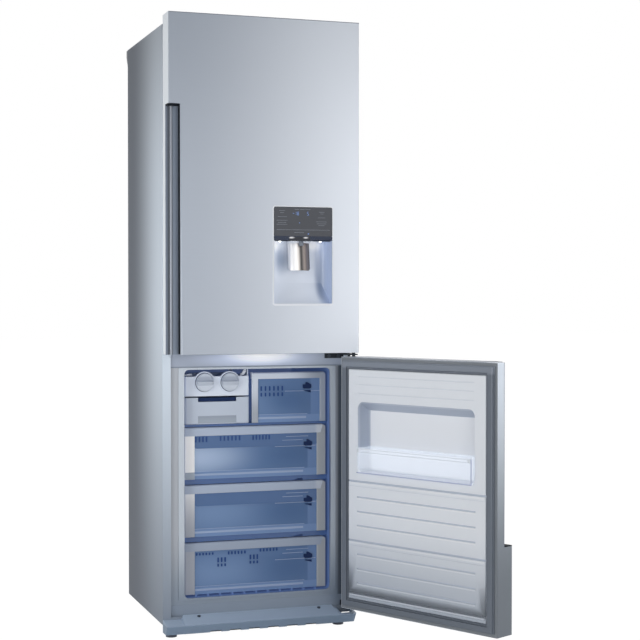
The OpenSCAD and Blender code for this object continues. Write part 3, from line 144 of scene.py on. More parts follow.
class Graph:
    """The node tree of one material, or of the world."""

    def __init__(self, name: str, owners: bpy.types.bpy_prop_collection = bpy.data.materials) -> None:
        """Starts an empty material, or a world, with that name."""
        self.material = owners.new(name)
        self.material.use_nodes = True
        self.tree = self.material.node_tree
        self.tree.nodes.clear()

    def node(
        self,
        kind: str,
        settings: dict[str, object] | None = None,
        sockets: dict[str | int, object] | None = None,
    ) -> bpy.types.Node:
        """Makes one node.

        Args:
            kind: the node's type.
            settings: its settings, set first.
            sockets: values or links of its input sockets.

        Returns:
            The node.
        """
        made = self.tree.nodes.new(kind)
        for key, setting in (settings or {}).items():
            setattr(made, key, setting)
        for key, given in (sockets or {}).items():
            target = made.inputs[key]
            if isinstance(given, Value):
                self.tree.links.new(given.socket, target)
            elif isinstance(given, bpy.types.NodeSocket):
                self.tree.links.new(given, target)
            else:
                target.default_value = given
        return made

    def value(self, node: bpy.types.Node, output: str | int = 0) -> Value:
        """One of a node's outputs as a value."""
        return Value(self, node.outputs[output])

    def place(self, scale: Point = (1.0, 1.0, 1.0)) -> Value:
        """The place on the piece, in its object's coordinates, squeezed along each axis."""
        coordinates = self.node("ShaderNodeTexCoord")
        mapping = self.node("ShaderNodeMapping", None, {"Vector": coordinates.outputs["Object"], "Scale": scale})
        return self.value(mapping)

    def ramp(
        self, given: bpy.types.NodeSocket, start: float, end: float, low: float = 0.0, high: float = 1.0
    ) -> Value:
        """A soft step from low to high, as what is given passes from start to end."""
        limits = {"From Min": start, "From Max": end, "To Min": low, "To Max": high}
        span = self.node("ShaderNodeMapRange", {"interpolation_type": "SMOOTHSTEP"}, {"Value": given, **limits})
        return self.value(span)

    def blend(self, amount: Value, first: object, second: object) -> Value:
        """A mix of two colours."""
        mix = self.node("ShaderNodeMix", {"data_type": "RGBA"}, {"Factor": amount, "A": first, "B": second})
        return self.value(mix, "Result")

    def rays(self, first: str, *others: str) -> Value:
        """One where the light's path is of one of these kinds, else nought."""
        path = self.node("ShaderNodeLightPath")
        seen = self.value(path, f"Is {first} Ray")
        for kind in others:
            seen = seen.either(self.value(path, f"Is {kind} Ray"))
        return seen


def shade(hexadecimal: str) -> tuple[float, float, float, float]:
    """Turns a written colour such as "b4bcc6" into scene-linear light.

    Args:
        hexadecimal: six digits, red, green and blue.

    Returns:
        Red, green, blue and one.
    """
    parts = [int(hexadecimal[i : i + 2], 16) / 255 for i in (0, 2, 4)]
    linear = [p / 12.92 if p <= 0.04045 else ((p + 0.055) / 1.055) ** 2.4 for p in parts]
    return (*linear, 1.0)


@dataclass(frozen=True)
class Fade:
    """A second colour that comes in along a direction, to paint light or shade. Places are metres in the object's
    frame.
    """

    colour: str
    way: Point
    start: float
    end: float

    def amount(self, graph: Graph, place: Value) -> Value:
        """How much of the second colour there is at a place, from 0 to 1."""
        along_way = graph.node("ShaderNodeVectorMath", {"operation": "DOT_PRODUCT"}, {0: place, 1: self.way})
        return graph.ramp(along_way.outputs["Value"], self.start, self.end)


@dataclass(frozen=True)
class Patch:
    """A second colour in a soft round patch, to paint a pool of light, a highlight or a patch of shade. Places are
    metres in the object's frame.
    """

    colour: str
    centre: Point
    reach: Point

    def amount(self, graph: Graph, place: Value) -> Value:
        """How much of the second colour there is at a place, from 0 to 1."""
        off = graph.node("ShaderNodeVectorMath", {"operation": "SUBTRACT"}, {0: place, 1: self.centre})
        part = graph.node("ShaderNodeVectorMath", {"operation": "DIVIDE"}, {0: off.outputs[0], 1: self.reach})
        far = graph.node("ShaderNodeVectorMath", {"operation": "LENGTH"}, {0: part.outputs[0]})
        return graph.ramp(far.outputs["Value"], 0.0, 1.0, 1.0, 0.0)


@dataclass(frozen=True)
class Finish:
    """One surface finish: a colour with a slight unevenness, soft second colours that paint light and shade on it, a
    gloss, a fine relief, and a glow that lights the lamps and is painted light on other parts.
    """

    name: str
    colour: str
    second: str = ""
    roughness: float = 0.4
    metallic: float = 0.0
    coat: float = 0.0
    alpha: float = 1.0
    grain: Grain = Grain.SMOOTH
    relief: float = 0.0
    glow: float = 0.0
    specular: float = 0.5
    painted_light_tints: tuple[Fade | Patch, ...] = ()

    def build(self) -> bpy.types.Material:
        """Makes the material, or returns the one made before."""
        name = f"{self.name}_look"
        if name in bpy.data.materials:
            return bpy.data.materials[name]
        graph = Graph(name)
        noise = graph.node(
            "ShaderNodeTexNoise",
            {"noise_dimensions": "3D"},
            {"Vector": graph.place(self.grain.value), "Scale": 1.0, "Detail": 3.0},
        )
        amount = graph.value(noise, "Fac")
        colour = graph.blend(amount, shade(self.colour), shade(self.second or self.colour))
        # Each tint paints light or shade over the colour.
        for tint in self.painted_light_tints:
            colour = graph.blend(tint.amount(graph, graph.place()), colour, shade(tint.colour))
        sockets: dict[str | int, object] = {
            "Base Color": colour,
            "Roughness": self.roughness + (amount - 0.5) * 0.08,
            "Metallic": self.metallic,
            "Coat Weight": self.coat,
            "Coat Roughness": 0.08,
            "Alpha": self.alpha,
            "Specular IOR Level": self.specular,
        }
        if self.relief:
            bump = graph.node("ShaderNodeBump", None, {"Strength": self.relief, "Distance": 0.0004, "Height": amount})
            sockets["Normal"] = bump.outputs[0]
        if self.glow:
            sockets["Emission Color"] = colour
            sockets["Emission Strength"] = self.glow
        shader = graph.node("ShaderNodeBsdfPrincipled", None, sockets)
        graph.node("ShaderNodeOutputMaterial", None, {"Surface": shader.outputs[0]})
        return graph.material


# How far the lower door stands open, in degrees
LOWER_TURN = 117.0
# The ways below also carry the painted light and shade on the open lower door and its liner.
# Across the open lower door from its handle to its hinge, and into it from its inner face
OPEN_WAY = (math.cos(math.radians(LOWER_TURN)), math.sin(math.radians(LOWER_TURN)), 0.0)
DEEP_WAY = (OPEN_WAY[1], -OPEN_WAY[0], 0.0)
# Past the open door's handle edge, and past the lower corner there
EDGE_WAY = (-OPEN_WAY[0], -OPEN_WAY[1], 0.0)
CORNER_WAY = (6 * EDGE_WAY[0], 6 * EDGE_WAY[1], -1.0)

# The upper door's steel: painted light that grows towards the right, painted shade towards the top and a painted
# highlight on the left return edge.
DOOR_STEEL = Finish(
    "door_steel", "9ca4b0", "a0a8b4", 0.36, metallic=0.2, coat=0.2, grain=Grain.BRUSHED,
    painted_light_tints=(
        Fade("dbe1ea", (1, 0, 0), -0.3, 0.32),
        Fade("7c8694", (0, 0, 1), 1.3, 3.6),
        Fade("e6eef6", (-1, 0, 0), 0.2956, 0.2970),
    ),
)
# The lower door's steel: painted light across the open door, a painted highlight along its handle edge and painted
# shade towards its lower corner.
LOWER_STEEL = Finish(
    "lower_door_steel", "a6aebb", "aab2bf", 0.36, metallic=0.2, coat=0.2, grain=Grain.BRUSHED,
    painted_light_tints=(
        Fade("cdd4de", OPEN_WAY, -0.77, -0.15),
        Fade("ccd5e0", EDGE_WAY, 0.745, 0.764),
        Fade("656d76", CORNER_WAY, 3.68, 4.42),
    ),
)
# The cabinet's sides: painted shade towards the bottom, the top and the back, and a painted shadow of the open lower
# door on the right flange.
SIDE_STEEL = Finish(
    "side_steel", "d8e3ef", "dbe6f1", 0.5, specular=0.1, grain=Grain.FINE,
    painted_light_tints=(
        Fade("7b8594", (0, 0, -1), -1.05, 0.25),
        Fade("adb5be", (0, 0, 1), 1.35, 2.1),
        Fade("6c737e", (0, 1, 0), 0.03, 0.43),
        Patch("444b55", (0.29, 0.0, 0.43), (0.05, 0.03, 0.5)),
    ),
)
# The freezer liner's rim: its front face painted lighter, painted shade towards the bottom and at the right, and a
# painted shadow of the open lower door near the right.
RIM_SILVER = Finish(
    "rim_silver", "abb0b8", "afb4bc", 0.4, metallic=0.1, grain=Grain.FINE,
    painted_light_tints=(
        Fade("bec7d1", (0, -1, 0), 0.0, 0.002),
        Fade("8591a0", (0, 0, -1), -0.32, -0.09),
        Fade("4f5863", (1, 0, 0), 0.252, 0.262),
        Patch("34446a", (0.2305, 0.0, 0.46), (0.0045, 0.03, 0.42)),
    ),
)
FRIDGE_RIM = Finish("fridge_rim", "ccd2dc", "d0d6e0", 0.38, grain=Grain.FINE)
RAIL_STEEL = Finish("rail_steel", "7e8a9a", "828e9e", 0.45, metallic=0.25, grain=Grain.FINE)
EDGE_GREY = Finish("edge_grey", "7b8188", "80868d", 0.5, grain=Grain.FINE, relief=0.05)
BLACK_PLASTIC = Finish("black_plastic", "232427", "292a2d", 0.55, grain=Grain.FINE, relief=0.1)
GREY_PLASTIC = Finish("grey_plastic", "777c84", "7c8189", 0.5, grain=Grain.FINE, relief=0.08)
TRIM_GREY = Finish("trim_grey", "6f7784", "747c89", 0.5, grain=Grain.FINE, relief=0.05)
# The kick plate: painted shade on the front face below its nose.
KICK_GREY = Finish(
    "kick_grey", "a8b9ce", "acbdd2", 0.5, specular=0.15, grain=Grain.FINE, relief=0.05,
    painted_light_tints=(Fade("899cb2", (0, 0, -1), -0.05, -0.044),),
)
# The handle is one extrusion: these greys are its faces with painted light and shade, painted shade in the groove and
# on the wall and a painted highlight on the ridge.
HANDLE_GREY = Finish("handle_grey", "788393", "7d8898", 0.42, metallic=0.3, grain=Grain.BRUSHED)
HANDLE_EDGE = Finish("handle_edge", "66707f", "6b7584", 0.42, metallic=0.3, grain=Grain.BRUSHED)
HANDLE_SHADED = Finish("handle_dark", "454c57", "49505b", 0.45, metallic=0.2, grain=Grain.BRUSHED)
HANDLE_HIGHLIGHT = Finish("handle_bright", "8d939d", "9298a2", 0.36, metallic=0.3, grain=Grain.BRUSHED)
LINER_WHITE = Finish("liner_white", "d7dce6", "dadfe8", 0.32, coat=0.1, grain=Grain.MOTTLED)
# The door liner: painted shade towards the bottom and on the pocket's walls, and painted light on the pocket's back.
DOOR_LINER = Finish(
    "door_liner", "ebf0f6", "eef2f8", 0.36, grain=Grain.MOTTLED,
    painted_light_tints=(
        Fade("b0b9c5", (0, 0, -1), -0.38, -0.08),
        Fade("c6cedb", DEEP_WAY, 0.1792, 0.1812),
        Fade("b2bccc", DEEP_WAY, 0.1860, 0.1920),
        Fade("f4f7fb", DEEP_WAY, 0.2290, 0.2312),
    ),
)
# The freezer's liner and its cover: a blue that paints the shade and the blue light inside the freezer, with a faint
# glow of painted light.
ROOM_BLUE = Finish("room_blue", "5f79ab", "637daf", 0.36, grain=Grain.MOTTLED, glow=0.12)
VENT_BLUE = Finish("vent_blue", "7e93bd", "8296c0", 0.4, grain=Grain.MOTTLED, glow=0.16)
EDGE_BLUE = Finish("edge_blue", "456294", "496698", 0.25, grain=Grain.MOTTLED)
# The drawers' side bars: painted light on the higher drawers and painted shade towards the right.
FRAME_SIDE = Finish(
    "frame_side", "a6abb5", "aaafb9", 0.36, coat=0.1, grain=Grain.MOTTLED,
    painted_light_tints=(Fade("ffffff", (0, 0, 1), 0.30, 0.50), Fade("a3a8ad", (1, 0, 0), -0.1, 0.12)),
)
# The drawers' top bars: painted light on the slanted right end and painted shade on the lower drawers.
FRAME_TOP = Finish(
    "frame_top", "abb8cd", "afbcd0", 0.36, coat=0.1, grain=Grain.MOTTLED,
    painted_light_tints=(Fade("c9d0da", (1, 0, 0), 0.185, 0.2), Fade("99a5b8", (0, 0, -1), -0.5, -0.3)),
)
FRAME_WHITE = Finish("frame_white", "cdd3dd", "d0d6df", 0.34, coat=0.1, grain=Grain.MOTTLED)
# The small drawer's frame: painted shade towards the bottom and towards the right.
SMALL_FRAME = Finish(
    "small_frame", "cfd7e4", "d2dae6", 0.34, coat=0.1, grain=Grain.MOTTLED,
    painted_light_tints=(Fade("a4abb6", (0, 0, -1), -0.75, -0.66), Fade("9ca5b3", (1, 0, 0), 0.1, 0.205)),
)
# Painted shade: the grey of frame parts that lie in shade, the foot of the top drawer's left bar and the ice bin's sunk
# grip, darker at the grip's top.
FRAME_SHADE = Finish(
    "frame_shade", "9ba6b4", "9faab8", 0.4, grain=Grain.MOTTLED,
    painted_light_tints=(Fade("939cab", (0, 0, 1), 0.645, 0.662),),
)
# The knobs: painted shade on a band just above the middle of the face, lighter again near the top, and painted light
# below the middle.
KNOB_GREY = Finish(
    "knob_grey", "c6cedb", "c9d1dd", 0.3, coat=0.2, grain=Grain.MOTTLED,
    painted_light_tints=(Fade("a3adbe", (0, 0, 1), 0.7635, 0.7675), Fade("c2cbd8", (0, 0, 1), 0.776, 0.786)),
)
ICE_GREY = Finish("ice_grey", "bcc6d6", "c0cad9", 0.4, grain=Grain.MOTTLED)
ICE_HOUSE = Finish("ice_house", "dbe4f2", "dfe7f4", 0.4, grain=Grain.MOTTLED)
ICE_WHITE = Finish("ice_white", "e2e7ee", "e4e9ef", 0.32, coat=0.2, grain=Grain.MOTTLED)
# The tubs glow faintly, as painted light.
TUB_BLUE = Finish("tub_blue", "7f9cd0", "84a1d3", 0.12, alpha=0.5, glow=0.1)
TUB_FLOOR = Finish("tub_floor", "9fb6e0", "a4bae2", 0.2, alpha=0.85)
TUB_EDGE = Finish("tub_edge", "8ea6d2", "92aad5", 0.15, alpha=0.9)
TUB_BAND = Finish("tub_band", "4f6f9f", "5373a3", 0.2, alpha=0.88)
TUB_LINE = Finish("tub_line", "a9bddf", "adc0e1", 0.2, alpha=0.8)
SHELF_GLASS = Finish("shelf_glass", "56709c", "5a74a0", 0.08, alpha=0.75)
CLEAR = Finish("clear_plastic", "dfe8f2", "e3ebf4", 0.1, alpha=0.4)
# The lower door's balcony glows, as painted light.
BALCONY = Finish("balcony_clear", "e9eff7", "edf2f9", 0.08, alpha=0.24, glow=0.38)
BALCONY_LINE = Finish("balcony_line", "bcc4e2", "c2cae6", 0.15, alpha=0.7)
CLEAR_EDGE = Finish("clear_edge", "eef3f9", "f0f5fa", 0.15, alpha=0.7)
# The gasket: painted lighter above a height of 0.81 m and painted darker at the far left, as painted light and shade.
GASKET = Finish(
    "gasket", "666e79", "6b737e", 0.62, grain=Grain.FINE, relief=0.1,
    painted_light_tints=(Fade("838b97", (0, 0, 1), 0.802, 0.812), Fade("3c434c", (-1, 0, 0), 0.284, 0.287)),
)
# Dark blue for the drawers' catches, and for pieces of painted shadow: the dark ring round each ice maker knob and the
# ice bin's notch.
HOOK_AND_SHADOW_DARK = Finish("dark_hook", "1a2c52", "1f3158", 0.5, specular=0.1)
# Near black for pieces of painted shadow in the kick plate and in the handle channels.
SHADOW_DARK = Finish("dark_gap", "14181f", "191d24", 0.7, specular=0.1)
SLOT_BLUE = Finish("slot_blue", "2f4a80", "344f86", 0.5, specular=0.1)
DARK_METAL = Finish("dark_metal", "2f343b", "343940", 0.5, specular=0.2, grain=Grain.FINE)
BACK_STEEL = Finish("back_steel", "6d7178", "73777e", 0.55, metallic=0.3, grain=Grain.FINE, relief=0.05)
ZINC = Finish("zinc", "9a9da2", "a4a7ac", 0.35, metallic=0.8, grain=Grain.MOTTLED)
SCREW_GREY = Finish("screw_grey", "3b424e", "404753", 0.4, metallic=0.2, grain=Grain.MOTTLED)
BLACK_STEEL = Finish("black_steel", "17181b", "1c1d20", 0.3, coat=0.4, grain=Grain.MOTTLED)
BLACK_RUBBER = Finish("black_rubber", "1a1a1c", "202022", 0.75, grain=Grain.FINE, relief=0.2)
FOOT_GREY = Finish("foot_grey", "4f5663", "555c69", 0.6, grain=Grain.FINE, relief=0.1)
COPPER = Finish("copper", "b87a56", "b0714e", 0.3, metallic=1.0, grain=Grain.MOTTLED)
ALUMINIUM = Finish("aluminium", "c4c7cb", "cacdd1", 0.35, metallic=0.9, grain=Grain.FINE)
# The dispenser's recess: a faint glow and painted light and shade, bluer to the right, painted shade in the lower right
# crease and left of the paddle, and painted pools of light under the two lamps.
RECESS = Finish(
    "recess", "d3dae6", "d6dde8", 0.3, coat=0.1, glow=0.14,
    painted_light_tints=(
        Fade("a7b6d2", (1, 0, 0), 0.165, 0.2),
        Patch("7f8da6", (0.188, -0.03, 1.06), (0.022, 0.06, 0.14)),
        Patch("8f9db4", (0.064, -0.03, 1.135), (0.042, 0.06, 0.06)),
        Patch("ffffff", (0.043, -0.045, 1.180), (0.030, 0.07, 0.030)),
        Patch("ffffff", (0.168, -0.045, 1.180), (0.034, 0.07, 0.030)),
    ),
)
# Dark navy that paints the shade under the panel and on the recess's ceiling.
BROW_SHADE = Finish("brow", "2b3448", "2f384c", 0.3, specular=0.3)
LEDGE_WHITE = Finish("ledge_white", "e6eaf2", "e8ecf3", 0.3)
# The chrome paddle: white on the left and dark on the right, its reflection painted on.
PADDLE = Finish(
    "paddle", "f1f1f3", "f3f3f5", 0.3, metallic=0.6,
    painted_light_tints=(
        Fade("c9c4c0", (1, 0, 0), 0.100, 0.112),
        Fade("3c3a3a", (1, 0, 0), 0.110, 0.120),
        Fade("8a807b", (1, 0, 0), 0.120, 0.138),
        Fade("262424", (1, 0, 0), 0.144, 0.151),
    ),
)
LED = Finish("led", "ffffff", "ffffff", 0.3, glow=4.0)
# The strip between the doors: a faint glow and painted pools of light in its middle, and painted shade along its foot.
STRIP = Finish(
    "strip_grey", "8a93a3", "8e97a7", 0.35, glow=0.3,
    painted_light_tints=(
        Patch("cdd9f2", (0.0, 0.0, 0.842), (0.26, 0.05, 0.05)),
        Patch("ffffff", (0.014, 0.0, 0.846), (0.15, 0.05, 0.036)),
        Fade("6d7684", (0, 0, -1), -0.814, -0.811),
    ),
)
# The beads are a brighter white than the liner, as painted highlights under the grooves, with the same painted shade
# towards the bottom.
BEAD_HIGHLIGHT = Finish(
    "bead_white", "f3f6fa", "f5f8fb", 0.36, grain=Grain.MOTTLED, painted_light_tints=(Fade("c9d0da", (0, 0, -1), -0.38, -0.08),),
)
BEZEL = Finish("bezel", "edf1f7", "eff3f8", 0.25, metallic=0.1)
PANEL_GLASS = Finish("panel_glass", "393d46", "3d414a", 0.14, coat=0.5)
PANEL_MARK = Finish("panel_mark", "737a85", "777e89", 0.5)
PANEL_LIT = Finish("panel_lit", "6f93d8", "7497da", 0.4, glow=0.45)
# The collar: dark with two painted highlights, its chrome's reflection painted on.
COLLAR = Finish(
    "collar", "2e3138", "32353c", 0.25, metallic=0.5,
    painted_light_tints=(
        Patch("e8e8ec", (0.080, -0.083, 1.1995), (0.013, 0.05, 0.004)),
        Patch("e8e8ec", (0.125, -0.083, 1.1995), (0.011, 0.05, 0.004)),
    ),
)
LAMP = Finish("lamp", "e8f0ff", "ecf3ff", 0.3, glow=2.0)
WHITE_FAN = Finish("white_fan", "cfd3d8", "d3d7dc", 0.5)


# Modelling


def pick(*things: bpy.types.Object) -> None:
    """Selects these objects and nothing else, with the last one active."""
    bpy.ops.object.select_all(action="DESELECT")
    for thing in things:
        thing.select_set(True)
        bpy.context.view_layer.objects.active = thing


@contextmanager
def editing(thing: bpy.types.Object, mode: str) -> Iterator[None]:
    """Edit mode on one object, with only that object selected.

    Args:
        thing: the object.
        mode: VERT, EDGE or FACE.

    Yields:
        Nothing, while the object is in edit mode.
    """
    pick(thing)
    bpy.ops.object.mode_set(mode="EDIT")
    bpy.ops.mesh.select_mode(type=mode)
    yield
    bpy.ops.object.mode_set(mode="OBJECT")


@contextmanager
def editing_all(thing: bpy.types.Object) -> Iterator[None]:
    """Edit mode on one object with its whole mesh selected."""
    with editing(thing, "FACE"):
        bpy.ops.mesh.select_all(action="SELECT")
        yield


class Workpiece:
    """One mesh on the bench. Lengths are in millimetres, and its object stays at the origin."""

    def __init__(self, thing: bpy.types.Object) -> None:
        """Takes up one object."""
        self.thing = thing

    @classmethod
    def _added(cls, name: str) -> "Workpiece":
        """Takes up the primitive that was added last, with its place put into its mesh."""
        thing = bpy.context.active_object
        bpy.ops.object.transform_apply(location=True, rotation=True, scale=True)
        thing.name = name
        thing.data.name = name
        return cls(thing)

    @classmethod
    def block(cls, name: str, x: Span, y: Span, z: Span) -> "Workpiece":
        """A block between two values on each axis."""
        pick()
        spans = (x, y, z)
        bpy.ops.mesh.primitive_cube_add(
            size=1,
            location=[(low + high) / 2 * MM for low, high in spans],
            scale=[(high - low) * MM for low, high in spans],
        )
        return cls._added(name)

    @classmethod
    def rod(cls, name: str, start: Point, end: Point, radius: float, sides: int = 32) -> "Workpiece":
        """A round rod from one point to another."""
        pick()
        first, last = Vector(start) * MM, Vector(end) * MM
        way = last - first
        bpy.ops.mesh.primitive_cylinder_add(
            vertices=sides,
            radius=radius * MM,
            depth=way.length,
            location=(first + last) / 2,
            rotation=way.to_track_quat("Z", "Y").to_euler(),
        )
        return cls._added(name)

    @classmethod
    def ball(cls, name: str, centre: Point, radius: float, sides: int = 32) -> "Workpiece":
        """A ball."""
        pick()
        bpy.ops.mesh.primitive_uv_sphere_add(
            segments=sides, ring_count=sides // 2, radius=radius * MM, location=Vector(centre) * MM
        )
        return cls._added(name)

    @classmethod
    def pipe(cls, name: str, points: Sequence[Point], radius: float, bend: float = 12.0) -> "Workpiece":
        """A bent pipe through some points.

        Args:
            name: the piece's name.
            points: the corners of its route.
            radius: its outer radius.
            bend: the radius that its corners are rounded with.

        Returns:
            The pipe.
        """
        curve = bpy.data.curves.new(name, "CURVE")
        curve.dimensions = "3D"
        curve.bevel_depth = radius * MM
        curve.bevel_resolution = 3
        curve.use_fill_caps = True
        route = cls._rounded(points, bend)
        spline = curve.splines.new("POLY")
        spline.points.add(len(route) - 1)
        for knot, place in zip(spline.points, route):
            knot.co = (*(place * MM), 1.0)
        thing = bpy.data.objects.new(name, curve)
        bpy.context.scene.collection.objects.link(thing)
        pick(thing)
        bpy.ops.object.convert(target="MESH")
        return cls(bpy.context.active_object)

    @staticmethod
    def _rounded(points: Sequence[Point], bend: float) -> list[Vector]:
        """A route with its corners rounded."""
        places = [Vector(p) for p in points]
        route = [places[0]]
        for before, corner, after in zip(places, places[1:], places[2:]):
            near = min(bend, (before - corner).length / 2, (after - corner).length / 2)
            start = corner + (before - corner).normalized() * near
            end = corner + (after - corner).normalized() * near
            for step in range(BEND_STEPS + 1):
                t = step / BEND_STEPS
                route.append(start * (1 - t) ** 2 + corner * 2 * t * (1 - t) + end * t * t)
        route.append(places[-1])
        return route

    def _unmarked(self) -> bpy.types.Mesh:
        """The mesh, with nothing in it selected."""
        mesh = self.thing.data
        for group in (mesh.vertices, mesh.edges, mesh.polygons):
            group.foreach_set("select", [False] * len(group))
        return mesh

    def mark_faces(self, test: FaceTest) -> None:
        """Selects the faces whose centre in millimetres and normal pass the test."""
        for face in self._unmarked().polygons:
            face.select = test(face.center / MM, face.normal)

    def mark_edges(self, test: EdgeTest) -> None:
        """Selects the edges whose middle in millimetres and direction pass the test."""
        mesh = self._unmarked()
        for edge in mesh.edges:
            first, last = (mesh.vertices[i].co for i in edge.vertices)
            edge.select = test((first + last) / 2 / MM, (last - first).normalized())

    def inset(self, test: FaceTest, width: float, depth: float = 0.0) -> "Workpiece":
        """Insets the faces that pass the test, and sinks them by the depth."""
        self.mark_faces(test)
        with editing(self.thing, "FACE"):
            bpy.ops.mesh.inset(thickness=width * MM, depth=-depth * MM)
        return self

    def drop(self, test: FaceTest) -> "Workpiece":
        """Deletes the faces that pass the test."""
        self.mark_faces(test)
        with editing(self.thing, "FACE"):
            bpy.ops.mesh.delete(type="FACE")
        return self

    def round_edges(self, test: EdgeTest, radius: float, steps: int = 4) -> "Workpiece":
        """Bevels the edges that pass the test."""
        self.mark_edges(test)
        with editing(self.thing, "EDGE"):
            bpy.ops.mesh.bevel(offset=radius * MM, segments=steps, affect="EDGES")
        return self

    def apply(self, kind: str, **settings: object) -> "Workpiece":
        """Adds one modifier and applies it."""
        pick(self.thing)
        modifier = self.thing.modifiers.new(kind.lower(), kind)
        for key, setting in settings.items():
            setattr(modifier, key, setting)
        bpy.ops.object.modifier_apply(modifier=modifier.name)
        return self

    def soften(self, radius: float, steps: int = 2, angle: float = 40.0) -> "Workpiece":
        """Bevels every edge sharper than the angle."""
        return self.apply(
            "BEVEL", width=radius * MM, segments=steps, limit_method="ANGLE", angle_limit=math.radians(angle)
        )

    def thicken(self, wall: float) -> "Workpiece":
        """Gives an open skin its wall, inwards."""
        return self.apply("SOLIDIFY", thickness=wall * MM, offset=-1)

    def thicken_outward(self, wall: float) -> "Workpiece":
        """Gives an open skin its wall, outwards, with the skin as the visible inside."""
        with editing_all(self.thing):
            bpy.ops.mesh.flip_normals()
        return self.apply("SOLIDIFY", thickness=wall * MM, offset=-1)

    def slice(self, point: Point, normal: Point) -> "Workpiece":
        """Cuts off what lies on the normal's side of a plane, and closes the cut."""
        with editing_all(self.thing):
            bpy.ops.mesh.bisect(
                plane_co=Vector(point) * MM, plane_no=Vector(normal).normalized(), clear_outer=True, use_fill=True
            )
        return self

    def cut(self, how: Cut, *others: "Workpiece") -> "Workpiece":
        """Combines this piece with others, which are used up."""
        for other in others:
            self.apply("BOOLEAN", operation=how.value, object=other.thing, solver="EXACT")
            bpy.data.objects.remove(other.thing)
        return self

    def carve(self, *others: "Workpiece") -> "Workpiece":
        """Takes other pieces out of this one."""
        return self.cut(Cut.AWAY, *others)

    def join(self, *others: "Workpiece") -> "Workpiece":
        """Puts other pieces into this one's mesh."""
        pick(*[other.thing for other in others], self.thing)
        bpy.ops.object.join()
        return self

    def move(self, matrix: Matrix) -> "Workpiece":
        """Moves the mesh, in metres."""
        self.thing.data.transform(matrix)
        return self

    def turn(self, degrees: float, axis: Axis, pivot: Point) -> "Workpiece":
        """Turns the mesh about a line along an axis, through a point in millimetres."""
        pin = Vector(pivot) * MM
        turned = Matrix.Rotation(math.radians(degrees), 4, axis.name)
        return self.move(Matrix.Translation(pin) @ turned @ Matrix.Translation(-pin))

    def row(self, axis: Axis, *steps: float) -> "Workpiece":
        """Joins copies of this piece to it, each moved along an axis by one of the steps."""
        return self.join(*[self.copy("copy").move(Matrix.Translation(axis.way * step * MM)) for step in steps])

    def copy(self, name: str) -> "Workpiece":
        """A copy with its own mesh."""
        twin = self.thing.copy()
        twin.data = self.thing.data.copy()
        twin.name = name
        bpy.context.scene.collection.objects.link(twin)
        return Workpiece(twin)

    def finish(self, finish: Finish, body: str, slot: str, *replaces: str) -> None:
        """Dresses the piece and fixes it to its body.

        Args:
            finish: its surface.
            body: the body that it moves with.
            slot: the record's material slot; not used.
            replaces: the nodes that it stands for.
        """
        pick(self.thing)
        bpy.ops.object.shade_smooth_by_angle(angle=SHARP_FROM)
        self.apply("WEIGHTED_NORMAL", keep_sharp=True, weight=50)
        self.thing.data.materials.clear()
        self.thing.data.materials.append(finish.build())
        name = self.thing.name.split(".")[0]
        self.thing.name = f"{name}_shape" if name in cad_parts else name
        self.thing.data.name = self.thing.name
        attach(self.thing, body)
        if replaces:
            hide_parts(*replaces)
        LOG.info("%s on %s", self.thing.name, body)


block, rod, ball, pipe = Workpiece.block, Workpiece.rod, Workpiece.ball, Workpiece.pipe


def joined(pieces: Sequence[Workpiece]) -> Workpiece:
    """Several pieces as one, under the first one's name."""
    return pieces[0].join(*pieces[1:])


def around(middle: float, half: float) -> Span:
    """The span that goes as far to each side of a middle."""
    return (middle - half, middle + half)


def facing(axis: Axis, sign: int, near: float | None = None, slack: float = 0.5) -> FaceTest:
    """A test for flat faces that face one way along an axis and lie near a place on it, or anywhere."""
    return lambda centre, normal: (
        normal[axis.value] * sign > FACE_CLOSE and (near is None or abs(centre[axis.value] - near) < slack)
    )


def along(
    axis: Axis,
    left: float = math.inf,
    right: float = -math.inf,
    ahead: float = math.inf,
    behind: float = -math.inf,
    under: float = math.inf,
    over: float = -math.inf,
) -> EdgeTest:
    """A test for edges along an axis.

    Args:
        axis: the way they run.
        left: a place that they lie to the left of.
        right: a place that they lie to the right of.
        ahead: a depth that they lie in front of.
        behind: a depth that they lie behind.
        under: a height that they lie under.
        over: a height that they lie over.

    Returns:
        The test.
    """
    return lambda middle, way: (
        abs(way[axis.value]) > EDGE_CLOSE
        and right < middle.x < left
        and behind < middle.y < ahead
        and over < middle.z < under
    )


def border(name: str, x: Span, y: Span, z: Span, sides: float, ends: float, soft: float = 0.0) -> Workpiece:
    """A rectangular ring seen from the front.

    Args:
        name: the piece's name.
        x: its outer span across.
        y: its span in depth.
        z: its outer span in height.
        sides: the width of its upright bars.
        ends: the height of its level bars.
        soft: the radius of its edges.

    Returns:
        The ring.
    """
    ring = block(name, x, y, z)
    hole = block("hole", (x[0] + sides, x[1] - sides), (y[0] - 5, y[1] + 5), (z[0] + ends, z[1] - ends))
    ring.carve(hole)
    return ring.soften(soft) if soft else ring


def tub(name: str, x: Span, y: Span, z: Span, wall: float, corner: float) -> Workpiece:
    """An open tub with round corners.

    Args:
        name: the piece's name.
        x: its span across.
        y: its span in depth.
        z: its span in height.
        wall: its wall.
        corner: the radius of its upright corners.

    Returns:
        The tub.
    """
    body = block(name, x, y, z)
    body.round_edges(along(Axis.Z), corner, 5)
    body.round_edges(lambda middle, way: abs(way.z) < 0.1 and abs(middle.z - z[0]) < 0.5, wall * 1.5, 3)
    body.drop(facing(Axis.Z, 1, z[1]))
    return body.thicken(wall)


def rounded_block(name: str, x: Span, y: Span, z: Span, radius: float, axis: Axis = Axis.Y) -> Workpiece:
    """A block with its four edges along one axis rounded."""
    return block(name, x, y, z).round_edges(along(axis), radius, 6)


def beside(span: Span, side: int) -> Span:
    """A span on the right for side 1, or its mirror image on the left for side -1."""
    return span if side > 0 else (-span[1], -span[0])


